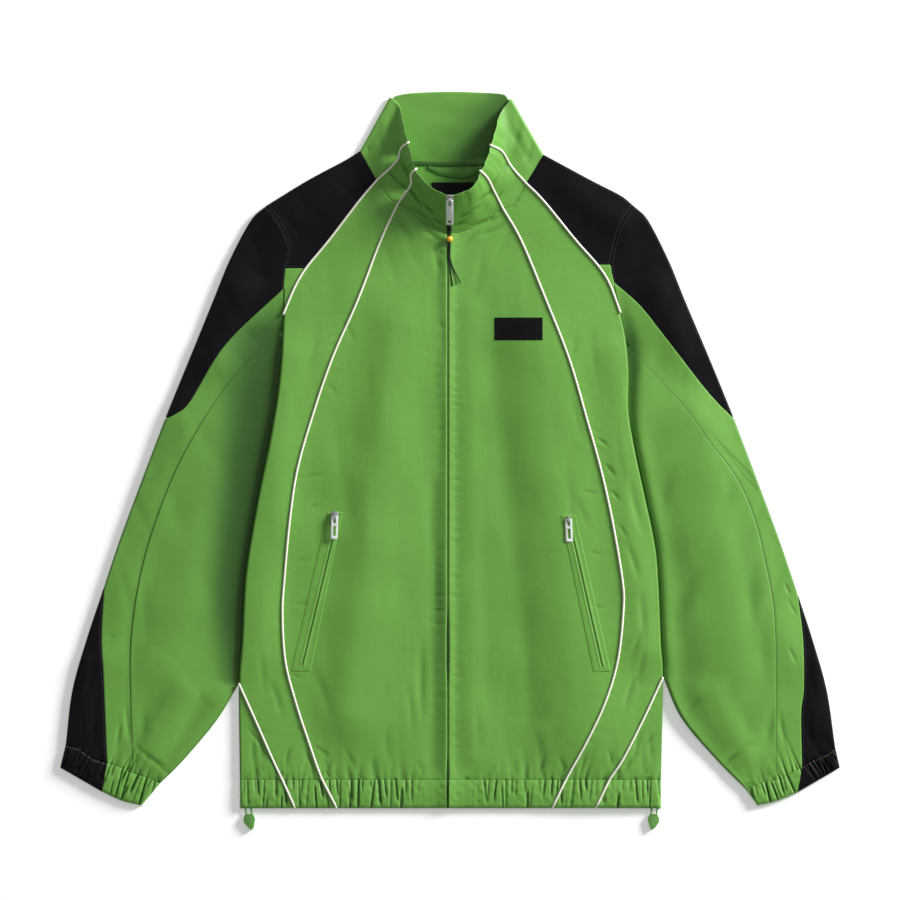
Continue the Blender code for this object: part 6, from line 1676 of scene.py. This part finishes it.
blackPull = dict(radius=0.65, paint="blackCord", body="main_pull", farEnd="bare")
greenLoop = dict(radius=0.9, paint="greenCord", body="jacket", farEnd="object")
cords = dict(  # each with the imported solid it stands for, what it carries and its route
    pullA=dict(blackPull, node="pull_cord_a", carries=("pullBead", "pullKnot"),
               route=[(-1.2, 241.7, 20.0), (-1.2, 238.2, 15.7), (-1.2, 234.3, 11.8), (-1.3, 228.9, 10.6),
                      (-1.5, 223.6, 9.1), (-1.6, 218.2, 7.7), (-1.8, 212.7, 7.4), (-1.6, 207.1, 7.4),
                      (-0.7, 201.7, 7.3), (0.2, 196.2, 7.3), (0.8, 190.7, 7.3), (1.6, 185.2, 7.5),
                      (2.5, 179.7, 7.8), (2.9, 177.0, 7.9)]),
    pullB=dict(blackPull, node="pull_cord_b", carries=(),
               route=[(0.4, 241.7, 20.0), (0.4, 238.2, 15.8), (0.4, 234.5, 12.0), (0.4, 229.3, 10.7),
                      (0.2, 224.0, 9.2), (0.0, 218.8, 7.8), (-0.2, 213.4, 7.4), (-0.1, 208.0, 7.5),
                      (1.1, 202.7, 7.3), (2.9, 197.6, 7.3), (5.1, 192.7, 7.3), (7.4, 187.8, 7.5),
                      (9.8, 182.9, 7.9), (11.0, 180.5, 8.1)]),
    hemLeft=dict(greenLoop, node="hem_cord_left", carries=("hemTab_left",),
                 route=[(-221, -368, 2.5), (-221, -373.5, 2.5), (-221, -378.9, 2.5), (-221, -384.4, 2.5),
                        (-220.4, -389.8, 2.4), (-219.4, -395.2, 2.2), (-215.5, -397.4, 2.2),
                        (-214.3, -392.6, 2.3), (-214.7, -387.1, 2.4), (-214.6, -381.7, 2.5),
                        (-214.5, -376.2, 2.5), (-214.5, -368, 2.5)]),
    hemRight=dict(greenLoop, node="hem_cord_right", carries=("hemTab_right",),
                  route=[(217.5, -368, 2.5), (217.5, -373.5, 2.5), (217.5, -378.9, 2.5), (217.7, -384.4, 2.5),
                         (217.5, -389.8, 2.4), (217.2, -395.3, 2.2), (221.1, -397.4, 2.2),
                         (222.9, -392.5, 2.3), (223.8, -387.1, 2.4), (224, -381.7, 2.5), (224, -376.2, 2.5),
                         (224, -368, 2.5)]))


def makeCord(name, c):
    # a round cord along the smooth curve through its route
    path = spline(c["route"], 8)
    length = lengthAlong(path)[-1]
    path = evenly(path, int(length / 0.7))
    obj = addSweep(name, path, c["radius"])
    dress(obj, c["paint"], c["body"], [c["node"]])


for name, c in cords.items():
    makeCord(name + "Cord", c)
print("cords are laid")

trims = dict(
    patch=dict(x=(48.0, 100.0), y=(118.5, 143.0), pitch=1.0, rise=0.7, round=1.0, groove=0.18, grooveAt=2.0,
               grooveHalf=0.4, palerTone=0.5, palerReach=0.6),
    label=dict(x=(-20.0, 25.0), y=(262.0, 289.0), pitch=1.5, z=2.3, lump=0.12, lumpWave=18, thick=0.6),
    hanger=dict(width=4.6, z=2.7, crown=0.35, thick=0.9, shadeTone=0.6,
                path=[(-24, 305.5), (-10, 299), (6, 296), (20, 296.5), (34, 305.5)]))


def boxGrid(p):
    # a grid over a box on the plan, fine at its rim
    (west, east), (south, north) = p["x"], p["y"]
    u, v = spread(east - west, p["pitch"]), spread(north - south, p["pitch"])
    return np.meshgrid(west + u * (east - west), north - v * (north - south))


def makePatch(p):
    # raised from the front: rise * a quarter round at its rim, with a groove all round
    x, y = boxGrid(p)
    ground = heightOn("frontCentre_right", np.dstack([x, y]))
    rim = np.minimum(np.minimum(x - p["x"][0], p["x"][1] - x), np.minimum(y - p["y"][0], p["y"][1] - y))
    z = (ground + p["rise"] * np.sqrt(1 - np.clip(1 - rim / p["round"], 0, 1) ** 2)
         - p["groove"] * np.exp(-((rim - p["grooveAt"]) / p["grooveHalf"]) ** 2))
    low = np.dstack([x, y, np.minimum(ground - 0.2, z - 0.1)])
    wearAndHighlight = p["palerTone"] * np.exp(-(rim / p["palerReach"]) ** 2)
    obj = closedSheet("chestPatch", np.dstack([x, y, z]), low, wearAndHighlight)
    dress(obj, "blackRubber", nodes=["chest_patch"])


def makeLabel(p):
    x, y = boxGrid(p)
    z = p["z"] + softNoise(x, y, 51, p["lumpWave"], p["lump"])
    obj = closedSheet("neckLabel", np.dstack([x, y, z]), np.dstack([x, y, z - p["thick"]]))
    dress(obj, "black", nodes=["neck_label"])


def makeHanger(h):
    # a flat strip along its path, lower at its edges by the fourth power of the way out
    path = evenly(spline(h["path"]), 49)
    along = np.gradient(path, axis=0)
    square = np.stack([-along[:, 1], along[:, 0]], 1) / np.linalg.norm(along, axis=1)[:, None]
    across = np.linspace(-0.5, 0.5, 9) * h["width"]
    plan = path[:, None] + square[:, None] * across[None, :, None]
    z = h["z"] - h["crown"] * (across / h["width"] * 2)[None] ** 4 + 0 * plan[..., 0]
    uv = np.dstack([across[None] + 0 * z, lengthAlong(path)[:, None] + 0 * z])
    # the loop takes painted shade all over, as it lies inside the collar
    obj = closedSheet("hangerLoop", np.dstack([plan, z]), np.dstack([plan, z - h["thick"]]),
                      paintedShade=h["shadeTone"], uv=uv)
    dress(obj, "inside", nodes=["hanger_loop"])


makePatch(trims["patch"])
makeLabel(trims["label"])
makeHanger(trims["hanger"])
print("trims are made")
